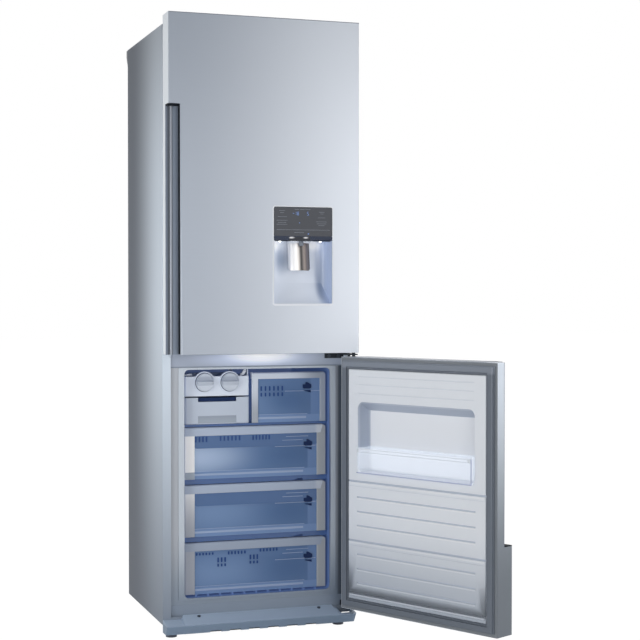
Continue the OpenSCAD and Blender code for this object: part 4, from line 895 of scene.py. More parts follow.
def dress(finish: Finish, *nodes: str) -> None:
    """Gives CAD nodes that stay in view their finish."""
    for node in nodes:
        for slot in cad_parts[node].material_slots:
            slot.material = finish.build()
        LOG.info("%s is %s", node, finish.name)


# Cabinet


@dataclass
class Cabinet:
    """The sheet-metal cabinet with its back, top hinge cover and the strip between the compartments."""

    half: float = 297.5
    depth: float = 498
    top: float = 1832
    base: float = 41
    flange: float = 26
    skin: float = 1
    edge: float = 3
    niche_top: float = 238
    niche_front: float = 285
    niche_low: float = 43
    field_margin: float = 34
    spacer: Span = (1761, 1831)
    spacer_back: float = 526
    slope_z: float = 1812
    hollow_x: Sequence[float] = (-240, -144, -48, 48, 144, 240)
    hollow_z: Span = (1774, 1818)
    strip: Span = (809, 884)
    cover: Box = ((235.5, 297.5), (1, 104), (1832, 1865))
    cover_mouth: Box = ((275.5, 293), (-5, 8), (1830, 1857))
    gland_place: Span = (-237.5, 113)
    gland_y: Span = (490, 501)
    gland_bore: float = 3.5

    def build(self) -> None:
        """Builds and dresses the cabinet."""
        self.shell()
        self.back()
        self.mid_strip()
        self.hinge_cover()
        self.gland()
        dress(DARK_METAL, "top_hinge", "mid_hinge", "bottom_hinge")
        dress(SCREW_GREY, "screws")
        dress(ZINC, "roller_axles")
        dress(RAIL_STEEL, "base_frame")
        dress(BLACK_PLASTIC, "machine_cover")

    def shell(self) -> None:
        """The wrap of sheet with its front flange folded in."""
        body = block("cabinet_shell", (-self.half, self.half), (0, self.depth), (self.base, self.top))
        body.round_edges(lambda middle, way: middle.y < self.depth - 1 and middle.z > self.base + 1, self.edge)
        body.drop(facing(Axis.Y, 1, self.depth))
        body.drop(facing(Axis.Z, -1, self.base))
        body.inset(facing(Axis.Y, -1, 0), self.flange - self.edge)
        body.drop(lambda centre, normal: normal.y < -0.9 and abs(centre.x) < 200 and 300 < centre.z < 1600)
        body.thicken(self.skin)
        body.finish(SIDE_STEEL, "cabinet", "steel_silver", "cabinet_shell")

    def back(self) -> None:
        """The back sheet with its pressed field, the roof of the machine space and the wall spacer."""
        side = self.half - self.skin
        back_y = (self.depth - self.skin, self.depth)
        sheet = block("back_sheet", (-side, side), back_y, (self.niche_top, self.top - self.skin))
        sheet.inset(facing(Axis.Y, 1, self.depth), self.field_margin)
        sheet.inset(lambda c, n: n.y > 0.9 and abs(c.x) < 50 and 800 < c.z < 1200, 5, -1.2)
        roof_z = (self.niche_top, self.niche_top + self.skin)
        roof = block("roof", (-side, side), (self.niche_front, self.depth), roof_z)
        front_y = (self.niche_front, self.niche_front + self.skin)
        front = block("front", (-side, side), front_y, (self.niche_low, self.niche_top))
        sheet.join(roof, front).finish(BACK_STEEL, "cabinet", "dark_metal", "back_panel")
        spacer = block("wall_spacer", (-side, side), (self.depth, self.spacer_back), self.spacer)
        spacer.slice((0, self.spacer_back - 1, self.slope_z), (0, 1, -0.6))
        spacer.round_edges(lambda m, w: m.y > self.spacer_back - 4 and m.z > self.slope_z - 12, 5, 4)
        hollow_y = (self.depth + 8, self.spacer_back + 5)
        hollows = [block("hollow", around(x, 40), hollow_y, self.hollow_z) for x in self.hollow_x]
        spacer.carve(*hollows).soften(1).finish(GREY_PLASTIC, "cabinet", "grey_plastic", "back_panel")

    def mid_strip(self) -> None:
        """The strip between the doors, with painted soft light on its middle and painted shade along its foot."""
        side = self.half - self.flange
        strip = block("mid_strip", (-side, side), (0, self.skin), self.strip)
        strip.round_edges(along(Axis.X, ahead=0.1), 0.4, 2)
        strip.finish(STRIP, "cabinet", "steel_silver", "mid_strip")

    def hinge_cover(self) -> None:
        """The cap over the top hinge, open at its front for the hinge's arm."""
        cap = block("hinge_cover", *self.cover)
        cap.round_edges(lambda m, w: m.z > self.top + 1, 7, 5)
        cap.round_edges(along(Axis.Z, behind=self.cover[1][1] - 4), 6, 4)
        cap.drop(facing(Axis.Z, -1, self.top)).thicken(2)
        cap.carve(block("mouth", *self.cover_mouth))
        cap.finish(GREY_PLASTIC, "cabinet", "grey_plastic", "hinge_cover")

    def gland(self) -> None:
        """The gland that a mains cord would leave by, with its grip ribs."""
        (x, z), (front, back) = self.gland_place, self.gland_y
        body = rod("cord_gland", (x, front, z), (x, back, z), 7)
        flange = rod("flange", (x, self.depth, z), (x, back, z), 10)
        grip = rod("grip", (x, front + 2, z), (x, front + 6, z), 10)
        body.join(flange, grip)
        body.carve(rod("bore", (x, front - 10, z), (x, back + 9, z), self.gland_bore)).soften(0.4)
        body.finish(BLACK_RUBBER, "cabinet", "black_rubber", "cord_gland")


@dataclass
class KickPlate:
    """The sloping plate under the doors, with its slots, its two lower ends and the dark opening at its right; pieces
    of painted shadow line the opening and lie behind the slots.
    """

    half: float = 297.5
    nose: Point = (-62, 48)
    toe: Point = (-42, 19)
    end_back: float = 57
    middle_back: float = 67
    middle: float = 243
    wall: float = 2.5
    slot_count: int = 6
    slot_pitch: float = 60
    slots_middle: float = 5
    slot_size: Span = (34, 5)
    opening: Box = ((251.5, 289.5), (-48, -4), (39, 80))
    lining: Box = ((252, 289), (-47, -5), (36, 40))
    shade: Box = ((-170, 180), (-38, -34), (19.5, 30))
    foot_x: float = 266
    foot_y: float = 23

    def build(self) -> None:
        """Builds and dresses the plate and the foot pads that show under it."""
        plate = self.length("kick_plate", self.half, self.end_back)
        centre = self.length("centre", self.middle, self.middle_back)
        for side in (-1, 1):
            centre.slice((side * self.middle, 0, self.end_back), (side * 0.8, 0, 0.6))
        plate.cut(Cut.TOGETHER, centre)
        plate.round_edges(lambda m, w: abs(w.z) > 0.2 and abs(abs(m.x) - self.half) < 0.5 and m.y < -35, 5, 4)
        plate.drop(facing(Axis.Y, 1, 0)).drop(facing(Axis.Z, -1, self.toe[1])).thicken(self.wall)
        wide, tall = self.slot_size
        first = self.slots_middle - (self.slot_count - 1) / 2 * self.slot_pitch
        slots = [
            block("slot", around(first + i * self.slot_pitch, wide / 2), (-70, -30), (10, self.toe[1] + tall))
            for i in range(self.slot_count)
        ]
        slots.append(block("opening", *self.opening))
        plate.carve(*slots).soften(0.6)
        plate.finish(KICK_GREY, "cabinet", "kick_grey", "kick_plate")
        # Pieces of painted shadow: a lining in the opening and a strip behind the slots.
        dark = block("kick_plate_lining", *self.lining).soften(1)
        dark.join(block("strip", *self.shade).soften(0.5))
        dark.finish(SHADOW_DARK, "cabinet", "black_plastic")
        for side, name in ((-1, "foot_left"), (1, "foot_right")):
            self.foot(side * self.foot_x, name)

    def length(self, name: str, reach: float, back: float) -> Workpiece:
        """A length of the plate's profile.

        Args:
            name: its name.
            reach: how far it goes to each side of the middle.
            back: its height at the cabinet.

        Returns:
            The closed profile.
        """
        (nose_y, nose_z), (toe_y, toe_z) = self.nose, self.toe
        body = block(name, (-reach, reach), (nose_y, 0), (toe_z, back))
        body.slice((0, nose_y, nose_z), (0, nose_z - back, -nose_y))
        return body.slice((0, nose_y, nose_z), (0, toe_z - nose_z, nose_y - toe_y))

    def foot(self, x: float, name: str) -> None:
        """A levelling foot: a ribbed pad on its stem."""
        y = self.foot_y
        pad = rod(name, (x, y, 0), (x, y, 10), 17, 40)
        pad.inset(facing(Axis.Z, 1, 10), 5, -2.5)
        pad.soften(1.2, 3)
        stem = rod("stem", (x, y, 9), (x, y, 58), 5, 24)
        pad.join(stem).finish(FOOT_GREY, name, "black_plastic", name)


# Inner liners


@dataclass
class Liner:
    """A compartment's moulded liner, with round corners and a raised lip round its mouth."""

    name: str
    low: float
    high: float
    finish: Finish
    rim_finish: Finish
    step: Span | None = None
    half: float = 231
    depth: float = 436
    wall: float = 3
    lip: float = 18
    lip_high: float = 6
    lip_y: Span = (-2.5, 4)
    rim_half: float = 277.5
    corner: float = 14
    ledges: Sequence[float] = ()
    ledge_y: Span = (44, 380)
    flange: Span = (0, 0)
    extras: list[Workpiece] = field(default_factory=list)

    def room(self, grow: float) -> list[Workpiece]:
        """The compartment's hollow, grown all round.

        Args:
            grow: how much it is grown.

        Returns:
            One or two blocks with round corners.
        """
        mouth = -8 if grow == 0 else 4
        spans = [(self.low, self.high, self.depth)]
        if self.step:
            spans = [(self.low, self.high, self.step[1]), (self.step[0], self.high, self.depth)]
        rooms = []
        for low, high, depth in spans:
            room = block(
                "room", (-self.half - grow, self.half + grow), (mouth, depth + grow), (low - grow, high + grow)
            )
            room.round_edges(lambda m, w: m.y > mouth + 1, self.corner + grow, 5)
            rooms.append(room)
        return rooms

    def build(self) -> None:
        """Builds and dresses the liner."""
        side = self.half + self.lip
        lip = block("lip", (-side, side), self.lip_y, (self.low - self.lip_high, self.high + self.lip_high))
        lip.round_edges(along(Axis.Y), 5, 4)
        rim = block(f"{self.name}_rim", around(0, self.rim_half), (1, self.lip_y[1]), self.flange)
        rim.cut(Cut.TOGETHER, lip)
        mouth = block("mouth", (-self.half, self.half), (-8, 9), (self.low, self.high))
        mouth.round_edges(along(Axis.Y), self.corner, 6)
        rim.carve(mouth).soften(1.4, 3, 50)
        rim.finish(self.rim_finish, "cabinet", "liner_white", self.name)
        body, *others = self.room(self.wall)
        body.thing.name = self.name
        body.cut(Cut.TOGETHER, *others)
        hollow, *more = self.room(0)
        body.carve(hollow.cut(Cut.TOGETHER, *more))
        body.soften(1, 2, 50)
        for height in self.ledges:
            for way in (-1, 1):
                x = (self.half - 10, self.half + 0.5)
                ledge = block("ledge", beside(x, way), self.ledge_y, (height - 6, height))
                self.extras.append(ledge.soften(1.2))
        if self.extras:
            body.join(*self.extras)
        body.finish(self.finish, "cabinet", "liner_white", self.name)


@dataclass
class FreezerRoom:
    """The freezer's liner, its cover with vents, its glass shelves and the ribs under the lowest drawer."""

    floor: float = 116
    ceiling: float = 803
    step: Span = (284, 236)
    flange: Span = (92, 815)
    shelves: Sequence[float] = (290.2, 464.7, 631)
    lips: Sequence[float] = (10.5, 10.5, 2.6)
    shelf_half: float = 230.5
    shelf_y: Span = (31, 380)
    shelf_t: float = 5
    notch: Span = (118, 152)
    rib: Box = ((-3, 3), (20, 230), (115, 120.7))
    rib_pitch: float = 38
    rib_count: int = 6

    def build(self) -> None:
        """Builds and dresses the freezer's fixed parts."""
        steps = [side * i * self.rib_pitch for i in range(1, self.rib_count + 1) for side in (-1, 1)]
        ribs = block("rib", *self.rib).soften(1).row(Axis.X, *steps)
        Liner(
            "freezer_liner", self.floor, self.ceiling, ROOM_BLUE, RIM_SILVER, self.step,
            ledges=self.shelves, flange=self.flange, extras=[ribs],
        ).build()
        dress(VENT_BLUE, "evaporator_cover")
        x = around(0, self.shelf_half)
        plates = [
            block("freezer_shelves", x, self.shelf_y, (z, z + self.shelf_t)).soften(1, 2) for z in self.shelves
        ]
        joined(plates).finish(SHELF_GLASS, "cabinet", "shelf_glass", "freezer_shelves")
        lips = []
        for z, deep in zip(self.shelves, self.lips):
            lip = block("freezer_shelf_lips", x, (28, self.shelf_y[0]), (z - deep, z + self.shelf_t))
            if deep > self.shelf_t:
                notch = block("notch", self.notch, (20, 40), (z - deep - 5, z - 4))
                lip.carve(notch.slice((self.notch[0], 0, z - 10), (-0.3, 0, 1)))
            lips.append(lip.soften(0.6))
        joined(lips).finish(EDGE_BLUE, "cabinet", "shelf_glass", "freezer_shelves")


@dataclass
class FridgeRoom:
    """The fridge's liner, shelves, air duct, lamp and crisper, behind the upper door."""

    floor: float = 890
    ceiling: float = 1772
    shelf_low: float = 1080
    shelf_pitch: float = 177
    shelf_count: int = 4
    shelf_half: float = 230.5
    crisper_half: float = 224.5
    crisper_y: Span = (108, 398)
    crisper_z: Span = (890.3, 1068.3)
    front_high: float = 30
    plate_y: Span = (103, 406)
    plate_t: float = 4
    trim_y: tuple[Span, Span] = ((92, 104), (396, 408))
    trim_rise: float = 9
    slot_count: int = 3
    slot_pitch: float = 7
    slot_high: float = 3
    lamp: Box = ((-90, 90), (112, 148), (1764, 1772))
    duct_box: Box = ((-75, 75), (412, 436), (1100, 1752))
    outlet: Span = (37.5, 20)

    def build(self) -> None:
        """Builds and dresses the fridge's fixed parts and its crisper."""
        heights = [self.shelf_low + i * self.shelf_pitch for i in range(self.shelf_count)]
        Liner(
            "fridge_liner", self.floor, self.ceiling, LINER_WHITE, FRIDGE_RIM,
            ledges=heights, ledge_y=(104, 408), flange=(878, 1812),
        ).build()
        plates, trims = [], []
        x, (front_y, rear_y) = around(0, self.shelf_half), self.trim_y
        for z in heights:
            plates.append(block("shelf_plates", (-230, 230), self.plate_y, (z, z + self.plate_t)).soften(0.8))
            front = block("shelf_trims", x, front_y, (z - 5, z + self.trim_rise))
            trims.append(front.round_edges(along(Axis.X, ahead=front_y[0] + 1), 3.5, 5))
            trims.append(block("rear", x, rear_y, (z, z + self.trim_rise)).soften(1.5))
        joined(plates).finish(SHELF_GLASS, "cabinet", "shelf_glass", "glass_shelves")
        joined(trims).finish(FRAME_WHITE, "cabinet", "frame_white", "glass_shelves")
        self.crisper()
        self.duct()
        lamp = block("fridge_lamp", *self.lamp)
        lamp.round_edges(along(Axis.Z), 12, 6).round_edges(lambda m, w: m.z < self.lamp[2][0] + 0.5, 3, 3)
        lamp.finish(LAMP, "cabinet", "lamp_white", "fridge_lamp")

    def crisper(self) -> None:
        """The crisper drawer with its moulded front."""
        x, y, top = around(0, self.crisper_half), self.crisper_y, self.crisper_z[1]
        body = tub("crisper_drawer", x, y, self.crisper_z, 2.5, 12)
        body.finish(CLEAR, "crisper", "clear", "crisper_drawer")
        front = block("crisper_front", x, (y[0] - 8, y[0]), (top - self.front_high, top))
        front.round_edges(lambda m, w: m.y < y[0] - 7, 3, 4)
        front.inset(facing(Axis.Z, -1, top - self.front_high), 1.5, 3)
        front.finish(FRAME_WHITE, "crisper", "frame_white", "crisper_drawer")

    def duct(self) -> None:
        """The air duct on the back wall, with its slotted outlets."""
        body = block("air_duct", *self.duct_box)
        body.round_edges(lambda m, w: m.y < self.duct_box[1][0] + 1, 8, 5)
        slots = []
        off, half = self.outlet
        for i in range(self.shelf_count - 1):
            low = self.shelf_low + (i + 0.55) * self.shelf_pitch
            for z in [low + k * self.slot_pitch for k in range(self.slot_count)]:
                slots += [
                    block("slot", around(side * off, half), (405, 420), (z, z + self.slot_high)) for side in (-1, 1)
                ]
        body.carve(*slots)
        body.finish(LINER_WHITE, "cabinet", "liner_white", "air_duct")


# Freezer drawers


@dataclass
class Drawer:
    """A clear drawer with a moulded front frame, a top bar to pull it by and a dark band in its window."""

    name: str
    low: float
    x: Span = (-224.5, 224.5)
    height: float = 157
    back: float = 380
    front: float = 20
    frame_t: float = 6
    bar: float = 26
    bar_deep: float = 21
    bar_short: float = 9
    left: float = 31
    right: float = 29
    tub_in: float = 6.2
    tub_top: float = 130
    band: float = 38
    rim: float = 8
    marks_ahead: float = 3.4
    slots: Sequence[tuple[float, float, int, float, float]] = ()
    catches: Sequence[tuple[float, float]] = ()
    lines: Sequence[tuple[float, float, float]] = ()
    # Where the pane's painted pool of light lies, across and up from the drawer's foot, and its colour.
    bright: Point = (-110, 60)
    light: str = "85a2cb"
    side_finish: Finish = FRAME_SIDE
    top_finish: Finish = FRAME_TOP
    foot_high: float = 0

    @property
    def top(self) -> float:
        """The height of the bar's top."""
        return self.low + self.height

    @property
    def window_top(self) -> float:
        """The height of the window's top."""
        return self.top - self.bar

    @property
    def marks_y(self) -> float:
        """The depth at which the marks lie in front of the pane."""
        return self.front + self.frame_t - self.marks_ahead

    @property
    def window(self) -> Span:
        """The window's span across."""
        return (self.x[0] + self.left, self.x[1] - self.right)

    def build(self) -> None:
        """Builds and dresses the drawer."""
        self.front_frame()
        self.bars()
        self.tub()
        self.pane()
        self.marks()
        self.details()

    def clear(self, piece: Workpiece, finish: Finish) -> None:
        """Dresses one clear piece of the tub."""
        piece.finish(finish, self.name, "clear_blue", f"{self.name}_tub")

    def front_frame(self) -> None:
        """The side bars of the front, each with a shallow panel."""
        bars = []
        spans = ((self.x[0], self.window[0], self.top - self.bar + 2), (self.window[1], self.x[1], self.top - 2))
        for low, high, top in spans:
            bar = block(
                f"{self.name}_frame", (low, high), (self.front + 0.5, self.front + self.frame_t), (self.low, top)
            )
            bar.round_edges(along(Axis.Y, right=self.x[1] - 1, over=top - 1), 8, 6)
            bar.round_edges(lambda m, w: m.y < self.front + 0.8, 2.2, 4)
            bars.append(bar)
        joined(bars).finish(self.side_finish, self.name, "frame_white", f"{self.name}_frame")

    def bars(self) -> None:
        """The top bar, hollow underneath for the fingers, with a slanted right end."""
        x = (self.x[0], self.x[1] - self.bar_short)
        y = (self.front, self.front + self.bar_deep)
        bar = block(f"{self.name}_bar", x, y, (self.window_top, self.top))
        bar.slice((x[1], 0, self.top), (1, 0, -0.3))
        bar.round_edges(along(Axis.X, ahead=self.front + 0.5, over=self.top - 1), 6, 6)
        bar.drop(facing(Axis.Z, -1, self.window_top)).thicken(3)
        bar.soften(0.7)
        bar.finish(self.top_finish, self.name, "frame_white", f"{self.name}_frame")

    def tub(self) -> None:
        """The clear tub with its stepped floor and slide rims."""
        x = (self.x[0] + self.tub_in, self.x[1] - self.tub_in)
        y = (self.front + self.frame_t, self.back)
        body = block(f"{self.name}_tub", x, y, (self.low, self.low + self.tub_top))
        body.round_edges(along(Axis.Z, behind=y[1] - 1), 10, 5)
        body.round_edges(lambda m, w: abs(w.z) < 0.1 and abs(m.z - self.low) < 0.5 and m.y > y[0] + 1, 4, 3)
        body.drop(facing(Axis.Z, 1, self.low + self.tub_top)).drop(facing(Axis.Y, -1, y[0])).thicken(2.5)
        self.clear(body, TUB_BLUE)
        steps = [
            block(f"{self.name}_floor", (x[0] + 6, x[1] - 6), (near, far), (self.low + 2.6, self.low + high))
            for near, far, high in ((y[0] + 4, y[0] + 20, 9), (y[0] + 60, y[0] + 66, 7), (y[0] + 110, y[0] + 116, 7))
        ]
        for step in steps:
            step.round_edges(along(Axis.X, over=self.low + 5), 1.8, 4)
        self.clear(joined(steps), TUB_FLOOR)
        if not self.rim:
            return
        rims = []
        for span in ((x[0] - self.rim + 1, x[0] + 2), (x[1] - 2, x[1] + self.rim - 1)):
            z = (self.low + self.tub_top - 3, self.low + self.tub_top)
            rims.append(block(f"{self.name}_rims", span, (y[0] + 16, y[1]), z).soften(0.8))
        self.clear(joined(rims), TUB_EDGE)

    def pane(self) -> None:
        """The window's pane, with a painted pool of light left of its middle, painted shade right of it, painted light
        at its right end and foot, and the pale sill at its foot.
        """
        low, high = self.window
        back = self.front + self.frame_t
        top = self.window_top
        x, z = self.bright
        # The pane's second colours are painted light and shade.
        glass = Finish(
            f"{self.name}_pane", "6e8cb8", "7290bc", 0.2, alpha=0.74, specular=0.2,
            painted_light_tints=(
                Patch(self.light, (x * MM, back * MM, (self.low + z) * MM), (0.23, 0.05, 0.085)),
                Patch("5c7ba8", (0.11, back * MM, (self.low + 70) * MM), (0.17, 0.05, 0.10)),
                Fade("7896c4", (1, 0, 0), (high - 32) * MM, (high - 26) * MM),
                Fade("85a3d0", (0, 0, -1), -(self.low + 24) * MM, -(self.low + 20) * MM),
            ),
        )
        pane = block(f"{self.name}_pane", (low - 1, high + 1), (back - 2.2, back - 0.4), (self.low, top + 2))
        self.clear(pane.soften(0.3), glass)
        sill = block(
            f"{self.name}_sill", (low - 1, high - 44), (back - 3.4, back - 2.2), (self.low + 10, self.low + 17)
        )
        sill.round_edges(along(Axis.X, ahead=back - 3.3), 1.1, 4)
        line = block("line", (low - 1, high - 40), (back - 3, back - 2.2), (self.low + 23, self.low + 24.6))
        self.clear(sill.join(line.soften(0.3)), TUB_LINE)

    def marks(self) -> None:
        """The dark band behind the top of the window, with its slots."""
        low, high = self.window
        y = self.marks_y
        top = self.window_top
        if self.band:
            band = block(f"{self.name}_band", (low - 1, high), (y, y + 1), (top - self.band, top + 1))
            band.round_edges(along(Axis.Y, left=low, under=top - 5), 9, 6)
            band.slice((high - 30, 0, top - self.band), (0.12, 0, -1))
            self.clear(band, TUB_BAND)
        dark = []
        for start, pitch, count, drop, tall in self.slots:
            z = (top - drop - tall, top - drop)
            slot = block(f"{self.name}_slots", (start, start + 5), (y - 0.4, y + 0.2), z)
            dark.append(slot.round_edges(along(Axis.Y), 2, 4).row(Axis.X, *[i * pitch for i in range(1, count)]))
        if dark:
            joined(dark).finish(SLOT_BLUE, self.name, "black_plastic")

    def details(self) -> None:
        """The dark catches, the thin rail lines and the grey block of painted shade at the lower left."""
        y = self.marks_y
        top = self.window_top
        hooks = []
        for x, drop in self.catches:
            hook = rounded_block(f"{self.name}_catch", (x, x + 28), (y - 1.4, y), (top - drop - 20, top - drop), 5)
            hook.carve(block("corner", (x - 5, x + 9), (y - 5, y + 5), (top - drop - 7, top)))
            hook.slice((x + 28, 0, top - drop - 8), (0.5, 0, 0.87))
            wedge = block("wedge", (x + 3, x + 26), (y - 1.4, y), (top - drop - 33, top - drop - 25))
            wedge.slice((x + 3, 0, top - drop - 26), (-0.28, 0, -0.96))
            hooks += [hook.soften(0.4), wedge.soften(0.4)]
        if hooks:
            joined(hooks).finish(HOOK_AND_SHADOW_DARK, self.name, "black_plastic")
        rails = []
        for start, end, drop in self.lines:
            rail = block(f"{self.name}_rails", (start, end), (y - 0.7, y), (top - drop - 1.6, top - drop))
            rails.append(rail.soften(0.3))
        if rails:
            joined(rails).finish(TUB_LINE, self.name, "clear_blue")
        # A grey block of painted shade over the foot of the left bar.
        if self.foot_high:
            x, y = (self.x[0] + 1.5, self.window[0]), (self.front + 0.1, self.front + 4)
            foot = block(f"{self.name}_foot", x, y, (self.low + 0.5, self.low + self.foot_high))
            foot.soften(1, 3).finish(FRAME_SHADE, self.name, "grey_plastic")


@dataclass
class IceMaker:
    """The twist ice maker: its housing, two knobs with their trays, and the bin below."""

    x: Span = (-224.5, -22.5)
    y: Span = (22, 250)
    knobs: Sequence[tuple[str, float]] = (("ice_left", -163), ("ice_right", -84))
    knob_z: float = 763
    knob_r: float = 27.5
    house: Span = (721, 781)
    bin_z: Span = (636.3, 717)
    notch: float = 120
    bore: float = 5.1
    arm: Box = ((-231, -223.5), (42, 230), (759, 767))
    fin: Box = ((-25.5, -22.5), (32, 62), (780, 803))
    rear_fin: Box = ((-25.5, -22.5), (210, 250), (780, 803))
    bracket: Box = ((-222, -196), (40, 60), (783, 789))
    strut: Box = ((-46, -28), (36, 50), (782, 801))

    def build(self) -> None:
        """Builds and dresses the ice maker."""
        self.housing()
        for body, x in self.knobs:
            self.knob(body, x)
        self.bin()
        dress(ICE_GREY, "ice_tray_left", "ice_tray_right")

    def housing(self) -> None:
        """The housing, with a bright collar for each knob, a dark ring of painted shadow in the gap round each knob, an
        arm to the wall and brackets above.
        """
        shell = block("ice_housing", self.x, self.y, self.house)
        shell.round_edges(along(Axis.Z), 5, 4)
        shell.drop(lambda c, n: abs(n.z) > 0.9).thicken(3)
        z = self.knob_z
        shell.carve(*[rod("bore", (x, 0, z), (x, 280, z), self.bore, 24) for _, x in self.knobs])
        shell.soften(0.8)
        shell.join(*[block("fin", *box).soften(1) for box in (self.arm, self.fin, self.rear_fin)])
        shell.finish(ICE_HOUSE, "cabinet", "frame_white", "ice_housing")
        collars, shadow_rings = [], []
        for _, x in self.knobs:
            collar = rod("ice_collars", (x, 19.5, z), (x, 25, z), self.knob_r + 5.5, 64)
            collar.carve(rod("hole", (x, 10, z), (x, 21.6, z), self.knob_r + 1.6, 64))
            collar.carve(rod("bore", (x, 0, z), (x, 40, z), self.bore, 24))
            collars.append(collar.soften(0.5, 2, 50))
            # A dark ring of painted shadow in the gap between collar and knob.
            ring = rod("ice_rings", (x, 20.9, z), (x, 21.7, z), self.knob_r + 1.5, 64)
            ring.carve(rod("hole", (x, 10, z), (x, 40, z), self.knob_r - 4, 64))
            shadow_rings.append(ring.soften(0.2))
        joined(collars).finish(ICE_HOUSE, "cabinet", "frame_white", "ice_housing")
        joined(shadow_rings).finish(HOOK_AND_SHADOW_DARK, "cabinet", "frame_white", "ice_housing")
        bracket = block("ice_brackets", *self.bracket)
        (left, _), _, (low, _) = self.bracket
        bracket.slice((left, 0, low + 2), (-0.25, 0, 1))
        strut = block("strut", *self.strut)
        (left, _), _, (low, _) = self.strut
        strut.slice((left, 0, low + 2), (-1, 0, 0.75)).slice((left + 12, 0, low + 2), (1, 0, -0.75))
        bracket.join(strut).soften(0.8).finish(ICE_WHITE, "cabinet", "frame_white", "ice_housing")

    def knob(self, body: str, x: float) -> None:
        """A knob: a dished disc with a broad grip across it.

        Args:
            body: the body that it turns with.
            x: where its centre lies.
        """
        name = body.replace("ice_", "ice_knob_")
        z = self.knob_z
        disc = rod(name, (x, 14, z), (x, 21, z), self.knob_r, 64)
        disc.inset(facing(Axis.Y, -1, 14), 1.4, 0)
        disc.inset(lambda c, n: n.y < -0.9 and abs(c.x - x) < 5 and abs(c.z - z) < 5, 1.6, 1.8)
        disc.soften(0.6)
        grip = rod("grip", (x, 7, z), (x, 19, z), self.knob_r - 3, 64)
        grip.cut(Cut.COMMON, block("keep", around(x, 30), (0, 30), (z - 13, z + 5)))
        grip.slice((x, 7, z + 1), (0, -0.9, 0.55)).slice((x, 7, z), (0, -0.62, -0.55))
        grip.soften(1, 3, 20)
        disc.join(grip)
        disc.finish(KNOB_GREY, body, "frame_white", name)

    def bin(self) -> None:
        """The ice bin, with a notch in its front and a sunk hand grip between two legs."""
        body = tub("ice_bin", self.x, (20, self.y[1]), self.bin_z, 3, 6)
        wide = around((self.x[0] + self.x[1]) / 2, self.notch / 2)
        low, high = self.bin_z
        body.carve(
            rounded_block("notch", wide, (10, 26), (high - 13, high + 20), 3),
            block("grip", wide, (16, 21.6), (low - 4, low + 25)),
        )
        body.carve(block("strip", (self.x[0] - 4, self.x[0] + 6), (14, 21), (low - 3, high - 4)))
        body.round_edges(lambda m, w: abs(w.y) > 0.9 and m.x > self.x[1] - 1 and m.z < low + 1, 6, 5)
        body.finish(ICE_GREY, "ice_bin", "frame_white", "ice_bin")
        # The grip's back is painted shade.
        panel = block("ice_bin_grip", wide, (21.2, 22.2), (low + 3, low + 25)).soften(0.3)
        panel.finish(FRAME_SHADE, "ice_bin", "frame_white", "ice_bin")
        dark = block("ice_bin_shadow", wide, (25.2, 26), (high - 14, high - 1)).soften(0.2)
        dark.finish(HOOK_AND_SHADOW_DARK, "ice_bin", "frame_white", "ice_bin")


# Doors


